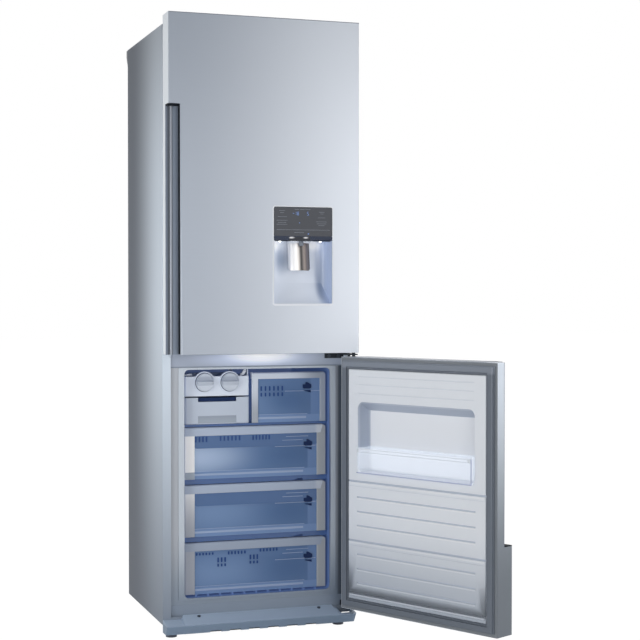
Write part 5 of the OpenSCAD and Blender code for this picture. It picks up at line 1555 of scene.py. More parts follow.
@dataclass
class Door:
    """One door's common parts: its shell, its finger channel, inner panel and gasket."""

    name: str
    body: str
    low: float
    high: float
    channel: Span
    seal: Span
    half: float = 297.5
    front: float = -82
    back: float = -12
    edge: float = 5
    wall: float = 1
    channel_w: float = 36
    channel_deep: float = 40
    undercut: float = 13
    lip: float = 6
    panel_y: float = -4
    panel_half: float = 261.5
    flange_half: float = 289.5
    flange_y: Span = (-16, -13.2)
    turn: float = 0
    pivot: Point = (288.5, -57)
    steel: Finish = DOOR_STEEL

    @property
    def grip(self) -> Span:
        """The finger channel's span in height within the door."""
        return (max(self.channel[0], self.low), min(self.channel[1], self.high))

    def hang(self, piece: Workpiece, finish: Finish, slot: str, *replaces: str) -> None:
        """Turns a piece made for the closed door to where the door stands at rest, and dresses it."""
        if self.turn:
            piece.turn(self.turn, Axis.Z, (*self.pivot, 0))
        piece.finish(finish, self.body, slot, *replaces)

    def shell(self, cuts: Sequence[Workpiece] = (), holes: Sequence[Workpiece] = ()) -> None:
        """The door's folded sheet.

        Args:
            cuts: pockets that are folded into the sheet.
            holes: holes that are cut through it.
        """
        body = block(f"{self.name}_shell", (-self.half, self.half), (self.front, self.back), (self.low, self.high))
        x, y = -self.half, self.front
        main = block("channel", (x - 9, x + self.channel_w), (y - 9, y + self.channel_deep), self.channel)
        under = block(
            "undercut", (x + 5, x + self.channel_w + self.undercut), (y + self.lip, y + self.channel_deep), self.channel
        )
        body.carve(main.cut(Cut.TOGETHER, under), *cuts)
        body.round_edges(lambda m, w: abs(w.z) > EDGE_CLOSE and m.y < y + 0.5 and abs(m.x) > 250, self.edge, 6)
        body.drop(facing(Axis.Y, 1, self.back))
        body.soften(1.2, 3, 60)
        body.thicken(self.wall)
        if holes:
            body.carve(*holes)
        self.hang(body, self.steel, "door_silver", f"{self.name}_shell")
        z = (self.low + 1, self.high - 1)
        back = border(f"{self.name}_back", around(0, self.half - 1), (self.back - 2, self.back), z, 36, 13)
        if cuts:
            back.carve(block("corner", (260, 310), (-20, 0), (self.high - 9, self.high + 9)))
        back.carve(block("channel", (x - 9, x + 9), (-20, self.back - 1.2), self.channel))
        self.hang(back, EDGE_GREY, "door_silver", f"{self.name}_shell")

    def strip(self, part: str, start: float, end: float, deep: float) -> Workpiece:
        """A strip of the handle on the channel's floor, between two places across it from the door's edge."""
        floor = self.front + self.channel_deep
        x = (start - self.half, end - self.half)
        return block(f"{self.name[:5]}_handle{part}", x, (floor - deep, floor), self.grip)

    def handle(self) -> None:
        """The extruded profile that lines the finger channel: its bed, bright lip and grip ridge, in greys that paint
        the extrusion's light and shade, with pieces of painted shadow in the channel.
        """
        low, high = self.grip
        x, y = -self.half, self.front
        floor = y + self.channel_deep
        name = f"{self.name[:5]}_handle"
        for part, start, end, finish in (("", 21, 39, HANDLE_GREY), ("_edge", 0, 7, HANDLE_EDGE)):
            flat = self.strip(part, start, end, 2).round_edges(along(Axis.Z), 0.8, 2)
            self.hang(flat, finish, "handle_grey", name)
        # The groove and the wall are dark grey as painted shade, and the ridge's lighter grey is a painted highlight.
        wall = block("wall", (x + 47, x + 49), (y + self.lip, floor), (low, high))
        groove = self.strip("_groove", 7, 13, 1).join(wall).soften(0.3)
        self.hang(groove, HANDLE_SHADED, "handle_grey", name)
        ridge = self.strip("_ridge", 13, 21, 5).round_edges(along(Axis.Z, ahead=floor - 4), 2.5, 6)
        self.hang(ridge, HANDLE_HIGHLIGHT, "handle_grey", name)
        # Near black pieces of painted shadow: in the undercut and at the channel's top or foot.
        dark = block(f"{name}_shade", (x + 39.5, x + 46.8), (floor - 12, floor - 0.2), (low + 1, high - 1))
        if self.channel[1] < self.high:
            dark.join(block("top", (x + 1, x + 46), (y + 10, floor - 2.4), (high - 4.2, high - 0.2)))
        if self.channel[0] > self.low:
            dark.join(block("foot", (x + 1, x + 46), (y + 1.5, floor - 2.4), (low + 0.3, low + 2.3)))
        self.hang(dark.soften(0.4), SHADOW_DARK, "handle_grey", name)

    def gasket(self) -> None:
        """The magnetic gasket: a flat base, a pleat and a soft bulb."""
        x = self.panel_half + 26
        low, high = self.seal
        base = border(f"{self.name}_gasket", (-x, x), (self.back, self.back + 5), (low, high), 25.5, 25.5, 1.2)
        bulb = border("bulb", (-x + 3, x - 3), (self.back + 4, -0.3), (low + 3, high - 3), 16, 16, 2.4)
        y, off = (self.back + 4, self.back + 8), 20.5
        pleat = border("pleat", (-x + off, x - off), y, (low + off, high - off), 2.5, 2.5, 0.8)
        self.hang(base.join(bulb, pleat), GASKET, "gasket_grey", f"{self.name}_gasket")

    def panel(self, tuck: Span) -> Workpiece:
        """The raised field of the inner panel, before what it carries is added.

        Args:
            tuck: the span in height of the flange behind the gasket.

        Returns:
            The panel as a thick slab with a flange.
        """
        low, high = self.seal[0] + 26, self.seal[1] - 26
        y = (self.flange_y[0], self.panel_y)
        raised = block(f"{self.name}_liner", around(0, self.panel_half), y, (low, high))
        raised.round_edges(lambda m, w: m.y > self.panel_y - 0.5, 4, 5)
        flange = block("flange", around(0, self.flange_half), self.flange_y, tuck)
        return raised.cut(Cut.TOGETHER, flange)

    def caps(self) -> None:
        """The moulded end caps at the door's top and foot."""
        for z, sign, name in ((self.low, -1, "foot"), (self.high, 1, "top")):
            z0 = (z, z + 0.7) if sign > 0 else (z - 0.7, z)
            x, y = (-self.half + 50, self.half - 40), (self.front + 2.5, self.back - 2)
            cap = block(f"{self.name}_{name}_cap", x, y, z0)
            cap.round_edges(along(Axis.Z), 4, 4)
            self.hang(cap, TRIM_GREY, "door_silver")
        start = -self.half + 1.5 + (self.channel_w if self.channel[1] > self.high else 0)
        y, z = (self.front - 0.25, self.front + 3), (self.high - 1.9, self.high + 0.15)
        line = block(f"{self.name}_top_trim", (start, self.half - 1.5), y, z)
        line.round_edges(along(Axis.X, ahead=self.front), 0.2, 2)
        self.hang(line, TRIM_GREY, "door_silver")


@dataclass
class UpperDoor:
    """The upper door: shell, channel, dispenser hole, inner rims, balconies and water tank."""

    balconies: Sequence[float] = (1096, 1442, 1626.8)
    balcony_h: float = 88
    tank: Span = (1206, 1332)
    rim_outer: float = 212
    rim_inner: float = 196
    reach: float = 78
    rims: Span = (1090, 1760)
    hinge_pocket: Box = ((270.5, 310), (-75, 0), (1846, 1870))
    dispenser_hole: Box = ((23.7, 210.3), (-90, -79), (997.7, 1292.3))
    outlet: Span = (117, 1221)
    lid: Box = ((-65, 65), (4, 60), (1334.5, 1337))

    def build(self) -> None:
        """Builds and dresses the upper door."""
        door = Door("upper_door", "upper_door", 851, 1855, (840, 1588), (861, 1826))
        door.shell([block("pocket", *self.hinge_pocket)], [block("hole", *self.dispenser_hole)])
        door.handle()
        door.gasket()
        door.caps()
        self.inner(door)
        self.store()

    def inner(self, door: Door) -> None:
        """The inner panel with its two upright rims and their bottle ledges."""
        panel = door.panel((859, 1844.5))
        rims = []
        for side in (-1, 1):
            span = (self.rim_inner, self.rim_outer)
            rim = block("rim", beside(span, side), (-5, self.reach), self.rims)
            rim.round_edges(lambda m, w: m.y > self.reach - 1, 5, 5)
            for z in (*self.balconies, self.tank[0]):
                x = (self.rim_inner - 6, self.rim_inner + 1)
                ledge = block("ledge", beside(x, side), (-5, self.reach - 10), (z - 5, z)).soften(1)
                rims.append(ledge)
            rims.append(rim)
        x, z = self.outlet
        panel.carve(rod("outlet", (x, -30, z), (x, 10, z), 7))
        panel.join(*rims).finish(LINER_WHITE, "upper_door", "liner_white", "upper_door_liner")

    def store(self) -> None:
        """The three balconies and the water tank with its lid."""
        half = self.rim_inner - 0.3
        shelves = []
        for z in self.balconies:
            top = z + self.balcony_h
            shelves.append(tub("door_balconies", (-half, half), (-4, self.reach), (z, top), 2.5, 10))
            rail = block("rail", around(0, half - 8), (self.reach - 2, self.reach), (top - 14, top - 6))
            shelves.append(rail.soften(0.8))
        joined(shelves).finish(CLEAR, "upper_door", "clear", "door_balconies")
        dress(CLEAR, "water_tank")
        _, (pin_y, _), (low, top) = self.lid
        lid = block("tank_lid", *self.lid)
        lid.round_edges(along(Axis.Z, behind=50), 10, 6)
        lid.inset(facing(Axis.Z, 1, top), 6, 0.6).soften(0.4)
        lid.join(rod("pin", (-70, pin_y, low + 1), (70, pin_y, low + 1), 2.5, 20))
        lid.finish(FRAME_WHITE, "lid", "frame_white", "tank_lid")


@dataclass
class LowerDoor:
    """The lower door, which stands open, with its ribbed inner panel, pocket and clear balcony."""

    pocket_x: Span = (-223, 223)
    pocket_z: Span = (492, 706)
    pocket_y: float = -58
    walls: Box = ((-226, 226), (-61, -10), (489, 709))
    dot_place: Span = (233, -5.7)
    balcony_top: float = 568
    balcony_out: float = 8
    wide_ribs: Sequence[float] = (465, 285, 127)
    ribs: Sequence[float] = (417.7, 374, 331.5, 245, 201, 158.5)
    top_ribs: Sequence[float] = (781.5, 757, 730.5)

    def build(self) -> None:
        """Builds and dresses the lower door."""
        door = Door("lower_door", "lower_door", 71, 839, (322, 850), (81, 829), turn=LOWER_TURN, steel=LOWER_STEEL)
        door.shell()
        door.handle()
        door.gasket()
        door.caps()
        self.inner(door)
        self.balcony(door)

    def groove(self, z: float, half: float, deep: float, tall: float) -> Workpiece:
        """What one level groove takes away at a height, round at its bottom."""
        body = block("groove", (-half, half), (-4 - deep, 2), (z - tall / 2, z + tall / 2))
        return body.round_edges(along(Axis.X, ahead=-3.8 - deep), min(deep, tall / 2) * 0.8, 4)

    def bead(self, z: float, half: float) -> Workpiece:
        """A low bead below a groove, in a brighter white that paints the highlight there."""
        return block("lower_door_beads", (-half, half), (-5, -3), (z - 2.2, z + 2.2)).soften(0.6)

    def inner(self, door: Door) -> None:
        """The inner panel, grooved, with the pocket sunk into it."""
        panel = door.panel((79, 831))
        panel.cut(Cut.TOGETHER, block("walls", *self.walls))
        pocket = block("pocket", self.pocket_x, (self.pocket_y, 20), self.pocket_z)
        pocket.round_edges(along(Axis.Y), 22, 8)
        pocket.round_edges(lambda m, w: m.y < self.pocket_y + 0.5, 12, 5)
        pocket.slice((0, -4, self.pocket_z[1]), (0, -30, 54))
        panel.carve(pocket)
        panel.soften(2, 3, 50)
        grooves = [self.groove(z, door.panel_half, 4.5, 6) for z in self.wide_ribs]
        grooves += [self.groove(z - 15, door.panel_half, 1.8, 2.4) for z in self.wide_ribs[:2]]
        grooves += [self.groove(z, 226, 3, 4.8) for z in self.ribs]
        grooves += [self.groove(z, 220, 1.8, 2.8) for z in self.top_ribs]
        panel.carve(*grooves)
        panel.join(*[ball("dot", (*self.dot_place, z), 3, 16) for z in self.top_ribs])
        beads = [self.bead(z - 7, 256) for z in self.wide_ribs] + [self.bead(z - 5, 225) for z in self.ribs]
        door.hang(joined(beads), BEAD_HIGHLIGHT, "liner_white", "lower_door_liner")
        door.hang(panel, DOOR_LINER, "liner_white", "lower_door_liner")

    def balcony(self, door: Door) -> None:
        """The clear balcony with its rolled rim and front rail."""
        low, high = self.pocket_z[0], self.balcony_top
        x = (self.pocket_x[0] + 2, self.pocket_x[1] - 2)
        body = tub("lower_door_balcony", x, (self.pocket_y + 1, self.balcony_out), (low, high), 2.5, 14)
        door.hang(body, BALCONY, "clear", "lower_door_balcony")
        y = (self.balcony_out - 0.8, self.balcony_out + 0.2)
        line = block("lower_door_balcony_line", (x[0] + 4, x[1] - 4), y, (low, low + 3.2)).soften(0.4)
        foot_y = (self.pocket_y + 8, self.balcony_out - 8)
        line.join(
            block("side", (x[0], x[0] + 3.4), y, (low, high - 2)).soften(0.4),
            block("foot", (x[0] + 14, x[1] - 14), foot_y, (low + 2.5, low + 3.2)),
        )
        door.hang(line, BALCONY_LINE, "clear", "lower_door_balcony")
        rail_y = (self.balcony_out - 2, self.balcony_out)
        rail = border("lower_door_balcony_rail", (x[0] + 6, x[1] - 6), rail_y, (high - 13, high - 2), 9, 2, 0.7)
        door.hang(rail, CLEAR_EDGE, "clear", "lower_door_balcony")


# Dispenser


@dataclass
class Dispenser:
    """The water dispenser: bright edge, dark control panel, smooth recess, nozzle and paddle."""

    x: Span = (21, 213)
    z: Span = (995, 1295)
    panel_z: Span = (1194, 1292)
    recess_x: Span = (27, 207)
    recess_z: Span = (1001, 1192)
    front: float = -82
    back: float = -25
    middle: float = 117
    curve: float = 112
    curve_high: float = 91
    pivot: Point = (-40, 1207)
    lean: float = 7
    spout_y: float = -63
    pipe_z: float = 1221
    hole: Box = ((24, 210), (-99, -70), (998, 1292))
    panel_x: Span = (24.3, 209.7)
    collar: Box = ((71.5, 139.5), (-83.45, -76), (1189.5, 1203))
    lamp_x: Span = (47, 175)
    blade: Span = (1100, 1195)
    bow: float = 36
    arm_slot: Box = ((81, 153), (-53, -25.5), (1190, 1198))
    box_slot: Box = ((79, 155), (-54, -24), (1190, 1200))
    rim_z: Span = (1184, 1190.5)
    rim_keep: Box = ((81, 152), (-82, -36), (1170, 1200))
    rows: Sequence[Point] = (
        (50, 9, 12), (50, 6, 18), (51, 14, 30), (50, 17, 41), (50, 13, 47.5), (50, 17, 53),
        (176, 9, 15), (176, 5, 20), (175, 12, 32), (175, 17, 44), (175, 15, 50), (175, 10, 55),
        (97, 7, 7.5), (114, 7, 7.5), (132, 8, 7.5), (117, 84, 69), (104, 15, 77),
    )

    def build(self) -> None:
        """Builds and dresses the dispenser."""
        self.housing()
        self.edge()
        self.panel()
        self.nozzle()
        self.paddle()

    def housing(self) -> None:
        """The recess, with round rear corners and a back that comes forward at its foot."""
        (x0, x1), (z0, z1) = self.recess_x, self.recess_z
        room = block("dispenser_housing", (x0, x1), (self.front, self.back), (z0, z1))
        room.round_edges(along(Axis.Z, behind=self.back - 1), 30, 10)
        y, z = self.back - self.curve, z0 + self.curve_high
        bend = rod("bend", (x0 - 5, y, z), (x1 + 5, y, z), self.curve, 96)
        above = block("above", (x0 - 5, x1 + 5), (self.front - 5, self.back + 5), (z, z1 + 5))
        room.cut(Cut.COMMON, bend.cut(Cut.TOGETHER, above))
        room.drop(lambda c, n: n.y < -0.9 and c.y < self.front + 0.5)
        room.thicken_outward(2.4)
        slot = block("slot", *self.arm_slot)
        x, y, z = self.middle, self.spout_y, self.pipe_z
        room.carve(slot, rod("spout", (x, y, z1 - 6), (x, y, z1 + 9), 7.3, 32))
        box = block("box", self.hole[0], (self.front + 2, self.back + 3), (z1 + 2.4, self.hole[2][1]))
        box.drop(facing(Axis.Y, -1, self.front + 2)).thicken(2.5)
        slot = block("slot", *self.box_slot)
        box.carve(slot, rod("pipe", (x, -40, z), (x, 0, z), 7.2))
        pin_y, pin_z = self.pivot
        for side in (-1, 1):
            ear = block("ear", around(x + side * 42, 2), around(pin_y, 7), (pin_z - 14, pin_z + 7))
            box.join(ear.carve(rod("bore", (60, pin_y, pin_z), (170, pin_y, pin_z), 3.1, 24)))
        room.join(box)
        # The recess's finish carries its painted light and shade.
        room.finish(RECESS, "upper_door", "recess_blue", "dispenser_housing")
        # The brow is painted shade on the recess's ceiling.
        brow = block("dispenser_brow", (x0 + 1, x1 - 1), (self.front + 4, self.front + 16), (z1 - 3, z1))
        brow.carve(block("gap", (80, 154), (self.front, self.front + 20), (z1 - 20, z1 - 0.6)))
        brow.soften(1, 3).finish(BROW_SHADE, "upper_door", "recess_blue", "dispenser_housing")
        for k, x in enumerate(self.lamp_x):
            lamp = ball(f"dispenser_lamp_{k + 1}", (x, self.front + 11, z1 - 2.6), 3.6, 20)
            lamp.slice((x, -70, z1 - 2.4), (0, 0, 1))
            lamp.finish(LED, "upper_door", "lamp_white")

    def edge(self) -> None:
        """The thin bright edge round the dispenser and the ledge under the panel, dark as painted shade."""
        edge = rounded_block("dispenser_edge", self.x, (self.front - 1.5, self.front + 2), self.z, 8)
        edge.carve(rounded_block("hole", *self.hole, 6))
        edge.soften(0.5, 2, 60)
        edge.finish(BEZEL, "upper_door", "chrome", "dispenser_housing")
        lip = block("dispenser_ledge", (24.2, 209.8), (self.front - 1.2, self.front + 10), (1191.5, 1194))
        lip.round_edges(along(Axis.X, ahead=self.front - 1), 0.9, 3)
        lip.finish(BROW_SHADE, "upper_door", "recess_blue", "dispenser_housing")
        floor = block("dispenser_floor", (26, 208), (self.front - 0.8, self.front + 3), (998, 1001.5))
        floor.soften(0.6).finish(LEDGE_WHITE, "upper_door", "recess_blue", "dispenser_housing")

    def panel(self) -> None:
        """The dark panel with plain bars, a level scale and two small lit figures."""
        low, high = self.panel_z
        y = self.front - 1.5
        glass = rounded_block("dispenser_panel", self.panel_x, (y, self.front + 1), (low + 10, high - 0.3), 4)
        glass.round_edges(lambda m, w: m.y < y + 0.1 and abs(w.y) < 0.1, 0.5, 2)
        glass.finish(PANEL_GLASS, "upper_door", "panel_dark", "dispenser_panel")
        strip_y, strip_z = (y + 0.3, self.front + 2), (low + 0.3, low + 10)
        # A dark strip of painted shade under the panel.
        strip = rounded_block("dispenser_brow_front", self.panel_x, strip_y, strip_z, 3)
        strip.finish(BROW_SHADE, "upper_door", "panel_dark", "dispenser_panel")
        marks = [self.mark(around(x, half), around(high - drop, 0.6)) for x, half, drop in self.rows]
        joined(marks).finish(PANEL_MARK, "upper_door", "panel_dark")
        lit: list[Workpiece] = []
        for x, figure in ((90, "1"), (98, "8"), (129, "5")):
            lit += self.figure(x, high - 20, figure)
        lit.append(self.mark((84, 88), (high - 20.4, high - 19.6)))
        lit.append(self.mark((104, 106), (high - 49, high - 47)))
        lit.append(self.mark((131, 135), (low + 16, low + 18)))
        joined(lit).finish(PANEL_LIT, "upper_door", "panel_dark")

    def mark(self, x: Span, z: Span) -> Workpiece:
        """A thin bar printed on the panel."""
        y = self.front - 1.5
        return block("dispenser_mark", x, (y - 0.12, y + 0.2), z)

    def figure(self, x: float, z: float, digit: str) -> list[Workpiece]:
        """One seven-segment figure.

        Args:
            x: its left edge.
            z: its middle.
            digit: which figure it is.

        Returns:
            Its lit segments.
        """
        segments = {
            "a": ((0.6, 4.4), (4.4, 5.2)),
            "g": ((0.6, 4.4), (-0.4, 0.4)),
            "d": ((0.6, 4.4), (-5.2, -4.4)),
            "f": ((0, 0.8), (0.6, 4.2)),
            "e": ((0, 0.8), (-4.2, -0.6)),
            "b": ((4.2, 5), (0.6, 4.2)),
            "c": ((4.2, 5), (-4.2, -0.6)),
        }
        lit = {"1": "bc", "5": "afgcd", "8": "abcdefg"}[digit]
        spans = [segments[letter] for letter in lit]
        return [self.mark((x + left, x + right), (z + low, z + high)) for (left, right), (low, high) in spans]

    def nozzle(self) -> None:
        """The collar in front of the paddle with its painted reflection, the white rim under it as a painted highlight,
        the spout and the pipe behind it.
        """
        centre, (low, high) = self.pivot[0] + self.bow, self.rim_z
        # A matt white rim, a painted highlight along the chrome's lower edge.
        rim = rod("dispenser_rim", (self.middle, centre, low), (self.middle, centre, high), 54, 128)
        rim.carve(rod("inside", (self.middle, centre, 1170), (self.middle, centre, 1200), 50, 128))
        rim.cut(Cut.COMMON, block("keep", *self.rim_keep)).soften(1.4, 4, 50)
        rim.finish(LEDGE_WHITE, "upper_door", "chrome", "dispenser_nozzle")
        collar = rounded_block("dispenser_collar", *self.collar, 5)
        collar.round_edges(lambda m, w: m.y < self.front - 1.4, 1, 3)
        collar.finish(COLLAR, "upper_door", "chrome", "dispenser_nozzle")
        x, y, z = self.middle, self.spout_y, self.pipe_z
        spout = rod("dispenser_spout", (x, y, 1176), (x, y, 1228), 7, 40)
        spout.cut(Cut.TOGETHER, rod("pipe", (x, y, z), (x, -4, z), 6, 32))
        spout.carve(rod("bore", (x, y, 1170), (x, y, z), 4, 32), rod("bore", (x, y, z), (x, 0, z), 4, 32))
        spout.soften(0.5).finish(TRIM_GREY, "upper_door", "chrome", "dispenser_nozzle")

    def paddle(self) -> None:
        """The curved chrome paddle on its pin, leaning a little to the front, with its reflection painted on."""
        y0, z0 = self.pivot
        centre = y0 + self.bow
        x, (low, top) = self.middle, self.blade
        blade = rod("dispenser_paddle", (x, centre, low), (x, centre, top), 44, 128)
        blade.carve(rod("inside", (x, centre, low - 9), (x, centre, top + 9), 42, 128))
        keep = rounded_block("keep", (83, 151), (y0 - 20, y0 + 22), (low, top + 20), 10)
        blade.cut(Cut.COMMON, keep).soften(0.6, 3, 50)
        arm = block("arm", (99, 135), (y0 - 4, y0 + 2), (1190, 1207)).soften(1)
        pin = rod("pin", (74, y0, z0), (160, y0, z0), 3, 24)
        blade.join(arm, pin)
        blade.turn(-self.lean, Axis.X, (x, y0, z0))
        blade.finish(PADDLE, "paddle", "chrome", "dispenser_paddle")


# Cooling and rollers


@dataclass
class Cooling:
    """The compressor with its pipes, the drain tray, evaporator, fan and rear rollers."""

    centre: Span = (0, 391.5)
    radius: float = 78
    plate: Box = ((-100, 100), (321.5, 461.5), (55, 58))
    pot_z: Span = (58, 190)
    seam_z: Span = (118, 124)
    squeeze: float = 0.97
    terminals: Box = ((60, 92), (365.5, 417.5), (80, 130))
    tray: Box = ((-78, 78), (321.5, 461.5), (190, 214))
    fin_z: Span = (374, 544)
    fin_y: Span = (394, 432)
    fin_pitch: float = 25
    fin_count: int = 15
    end_x: float = 175
    tube_y: Span = (404, 422)
    tube_rows: int = 3
    roller_x: float = 240
    axle: Span = (453, 20)

    def build(self) -> None:
        """Builds and dresses the running gear."""
        self.compressor()
        self.evaporator()
        self.rollers()
        dress(BLACK_RUBBER, "compressor_mounts")
        dress(WHITE_FAN, "evaporator_fan")
        tray = tub("drain_tray", *self.tray, 2, 8)
        tray.finish(BLACK_PLASTIC, "cabinet", "black_plastic", "drain_tray")

    def compressor(self) -> None:
        """The compressor's welded pot with its seam, feet, terminal box and pipe stubs."""
        x, y = self.centre
        low, high = self.pot_z
        plate = block("compressor", *self.plate)
        plate.round_edges(along(Axis.Z), 12, 5).soften(0.6)
        pot = rod("pot", (x, y, low), (x, y, high), self.radius, 72)
        pot.round_edges(lambda m, w: m.z > high - 1, 46, 10)
        pot.round_edges(lambda m, w: m.z < low + 0.5, 10, 4)
        seam = rod("seam", (x, y, self.seam_z[0]), (x, y, self.seam_z[1]), self.radius, 72)
        middle = Vector((x, y, 0)) * MM
        narrow = Matrix.Diagonal((self.squeeze, self.squeeze, 1, 1))
        pot.move(Matrix.Translation(middle) @ narrow @ Matrix.Translation(-middle))
        seam.soften(1.5, 3)
        plate.join(pot, seam)
        plate.finish(BLACK_STEEL, "cabinet", "black_steel", "compressor")
        box = block("compressor_terminals", *self.terminals)
        box.round_edges(lambda m, w: m.x > self.terminals[0][0] + 1, 5, 4)
        box.finish(BLACK_PLASTIC, "cabinet", "black_plastic")
        routes = (
            (3.2, ((-40, 50, 120), (-40, 88, 120), (-60, 88, 180), (-120, 70, 180), (-120, 70, 236))),
            (4.2, ((-20, 66, 96), (-20, 90, 96), (-90, 90, 96), (-160, 86, 96), (-160, 60, 236))),
            (3.2, ((30, 60, 108), (30, 90, 108), (120, 88, 108), (170, 70, 60), (170, -60, 60))),
        )
        pipes = [
            pipe("compressor_pipes", [(across, y + back, up) for across, back, up in route], radius)
            for radius, route in routes
        ]
        joined(pipes).finish(COPPER, "cabinet", "zinc")

    def evaporator(self) -> None:
        """The finned evaporator with the bends between its tubes."""
        (low, high), (near, far) = self.fin_z, self.fin_y
        first = -(self.fin_count - 1) / 2 * self.fin_pitch
        fin = block("evaporator", around(first, 1), (near, far), (low, high)).soften(0.4)
        fin.row(Axis.X, *[i * self.fin_pitch for i in range(1, self.fin_count)])
        end = block("end", around(-self.end_x, 2), (near - 4, far + 4), (low, high)).soften(0.6)
        fin.join(end.row(Axis.X, 2 * self.end_x)).finish(ALUMINIUM, "cabinet", "fin_aluminium", "evaporator")
        heights = [low + (high - low) * (k + 0.5) / self.tube_rows for k in range(self.tube_rows)]
        reach = self.end_x + 3
        tubes = [rod("evaporator_tubes", (-reach, y, z), (reach, y, z), 4, 20) for y in self.tube_y for z in heights]
        front, back = self.tube_y
        for side in (-1, 1):
            for z in heights:
                x, out = side * reach, side * (reach + 10)
                tubes.append(pipe("bend", [(x, front, z), (out, front, z), (out, back, z), (x, back, z)], 4, 7))
        joined(tubes).finish(COPPER, "cabinet", "fin_aluminium", "evaporator")

    def rollers(self) -> None:
        """The two rear rollers, each with a grooved tread and a dished face."""
        y, z = self.axle
        for name, x in (("roller_left", -self.roller_x), ("roller_right", self.roller_x)):
            wheel = rod(name, (x - 11, y, z), (x + 11, y, z), z, 48)
            wheel.inset(lambda c, n: abs(n.x) > 0.9, 5, 1.5)
            wheel.carve(rod("bore", (x - 20, y, z), (x + 20, y, z), 4.1, 24))
            wheel.soften(1)
            wheel.finish(BLACK_PLASTIC, name, "black_plastic", name)


# Studio


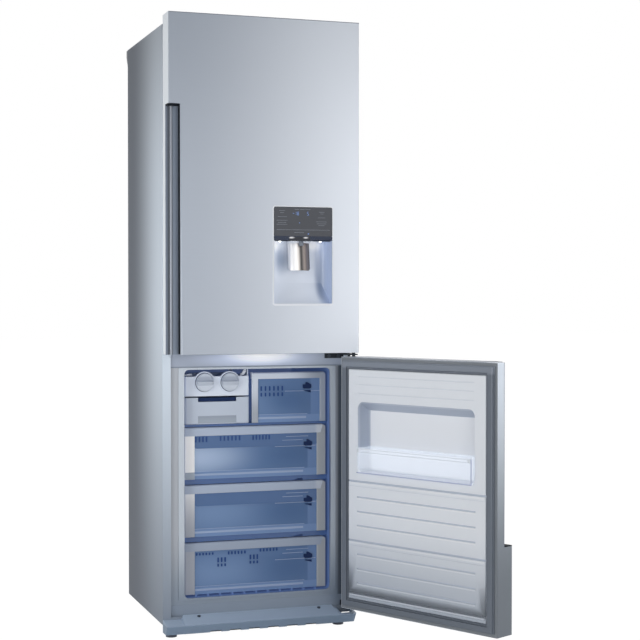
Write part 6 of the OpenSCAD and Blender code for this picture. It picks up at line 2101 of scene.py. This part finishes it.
@dataclass
class Studio:
    """The plain floor, the lamps and the camera."""

    eye: Point = (-1287.25, -4320.95, 1028.15)
    yaw: float = 18.98
    pitch: float = 0.98
    lens: float = 83.33
    ambient: float = 0.17

    def build(self) -> None:
        """Sets the scene."""
        scene = bpy.context.scene
        scene.view_settings.view_transform = "Standard"
        camera = bpy.data.cameras.new("camera")
        camera.lens = self.lens
        camera.sensor_width = 36
        camera.clip_end = 100
        eye = bpy.data.objects.new("camera", camera)
        eye.location = Vector(self.eye) * MM
        eye.rotation_euler = (math.radians(90 - self.pitch), 0, -math.radians(self.yaw))
        scene.collection.objects.link(eye)
        scene.camera = eye
        self.floor()
        self.world()
        self.lamp("key", (1.25, -1.25, 1.15), (0, -0.08, 1.15), (0.7, 1.5), 9)
        self.lamp("front", (-0.35, -3.5, 1.1), (0.05, 0, 0.8), (1.8, 1.8), 24)
        self.lamp("side", (-1.15, -0.5, 1.05), (-0.3, 0.12, 0.95), (0.5, 0.9), 4)
        self.lamp("inner", (-2.4, -1.5, 0.8), (0.4, -0.3, 0.5), (0.9, 0.9), 12)
        self.lamp("rear", (1.2, 3.4, 2.4), (0, 0.4, 0.9), (2, 2), 30)
        self.lamp("top", (0.2, 0.4, 3.8), (0, 0.1, 0), (2.4, 2.4), 30)

    def lamp(self, name: str, place: Point, target: Point, size: Span, power: float) -> None:
        """One soft rectangular lamp.

        Args:
            name: its name.
            place: where it stands, in metres.
            target: what it points at, in metres.
            size: its two sides, in metres.
            power: its power, in watts.
        """
        light = bpy.data.lights.new(name, "AREA")
        light.shape = "RECTANGLE"
        light.size, light.size_y = size
        light.energy = power
        light.color = (1.0, 0.995, 0.99)
        thing = bpy.data.objects.new(name, light)
        thing.location = place
        thing.rotation_euler = (Vector(target) - Vector(place)).to_track_quat("-Z", "Y").to_euler()
        thing.visible_camera = False
        bpy.context.scene.collection.objects.link(thing)

    def floor(self) -> None:
        """The pale floor, which keeps the object's shadow."""
        pick()
        bpy.ops.mesh.primitive_plane_add(size=60, location=(0, 0, -0.0005))
        plane = bpy.context.active_object
        plane.name = "floor"
        graph = Graph("floor")
        matt = graph.node("ShaderNodeBsdfDiffuse", None, {"Color": (0.9, 0.9, 0.9, 1)})
        glow = graph.node("ShaderNodeEmission", None, {"Color": (1, 1, 1, 1), "Strength": 1.06})
        amount = graph.rays("Camera", "Glossy") * 0.94
        mix = graph.node("ShaderNodeMixShader", None, {0: amount, 1: matt.outputs[0], 2: glow.outputs[0]})
        graph.node("ShaderNodeOutputMaterial", None, {"Surface": mix.outputs[0]})
        plane.data.materials.append(graph.material)
        plane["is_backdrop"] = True

    def world(self) -> None:
        """A white background to the eye and to gloss, and a softer light on the object."""
        graph = Graph("studio", bpy.data.worlds)
        bpy.context.scene.world = graph.material
        seen = graph.rays("Camera", "Glossy", "Transmission")
        soft = graph.node("ShaderNodeBackground", None, {"Color": (0.96, 0.975, 1.0, 1), "Strength": self.ambient})
        white = graph.node("ShaderNodeBackground", None, {"Color": (1, 1, 1, 1), "Strength": 1.0})
        mix = graph.node("ShaderNodeMixShader", None, {0: seen, 1: soft.outputs[0], 2: white.outputs[0]})
        graph.node("ShaderNodeOutputWorld", None, {"Surface": mix.outputs[0]})


def large_drawers() -> list[Drawer]:
    """The three large drawers, from the lowest to the highest."""
    rails = ((96, 168, 9), (84, 150, 20), (60, 192, 39))
    catches = ((153, 20),)
    top_slots = ((-192, 11, 4, 2, 17), (-115, 12, 6, 2, 15), (-12, 10.3, 6, 2, 15))
    low_slots = (
        (-190, 10, 6, 5, 8),
        (-90, 10.3, 6, 5, 10),
        (11, 10.5, 6, 2, 10),
        (-123, 11, 3, 22, 15),
        (-123, 11, 3, 41, 9),
        (-21, 11, 3, 19, 15),
        (-21, 11, 3, 38, 9),
    )
    return [
        Drawer("drawer_bottom", 121, back=230, slots=low_slots, catches=catches, lines=rails, band=0,
               bright=(-130, 60)),
        Drawer("drawer_middle", 295.5, catches=catches, lines=rails, bright=(-130, 70)),
        Drawer("drawer_top", 470, slots=top_slots, catches=catches, lines=rails, foot_high=22,
               bright=(-185, 66), light="c2d6f2"),
    ]


def small_drawer() -> Drawer:
    """The narrow drawer beside the ice maker."""
    return Drawer(
        "small_drawer", 636.3, x=(-13.5, 224.5), height=153.7, bar=20, bar_short=5, left=20, right=19,
        tub_in=3, tub_top=132, band=0, rim=0,
        slots=((14, 13.5, 6, 22, 15), (14, 13.5, 6, 42, 12)),
        catches=((150, 12),), lines=((92, 205, 38),), bright=(20, 60),
        side_finish=SMALL_FRAME, top_finish=SMALL_FRAME,
    )


def write_sizes() -> None:
    """Works out the box of the CAD model and of the dressed one."""
    boxes = [[list(corner) for corner in box] for box in (cad_bounds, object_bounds())]


def main() -> None:
    """Builds everything in order."""
    logging.basicConfig(level=logging.INFO, format="%(name)s: %(message)s")
    Studio().build()
    Cabinet().build()
    KickPlate().build()
    FreezerRoom().build()
    FridgeRoom().build()
    for drawer in (*large_drawers(), small_drawer()):
        drawer.build()
    IceMaker().build()
    UpperDoor().build()
    Dispenser().build()
    LowerDoor().build()
    Cooling().build()
    write_sizes()


if __name__ == "__main__":
    main()
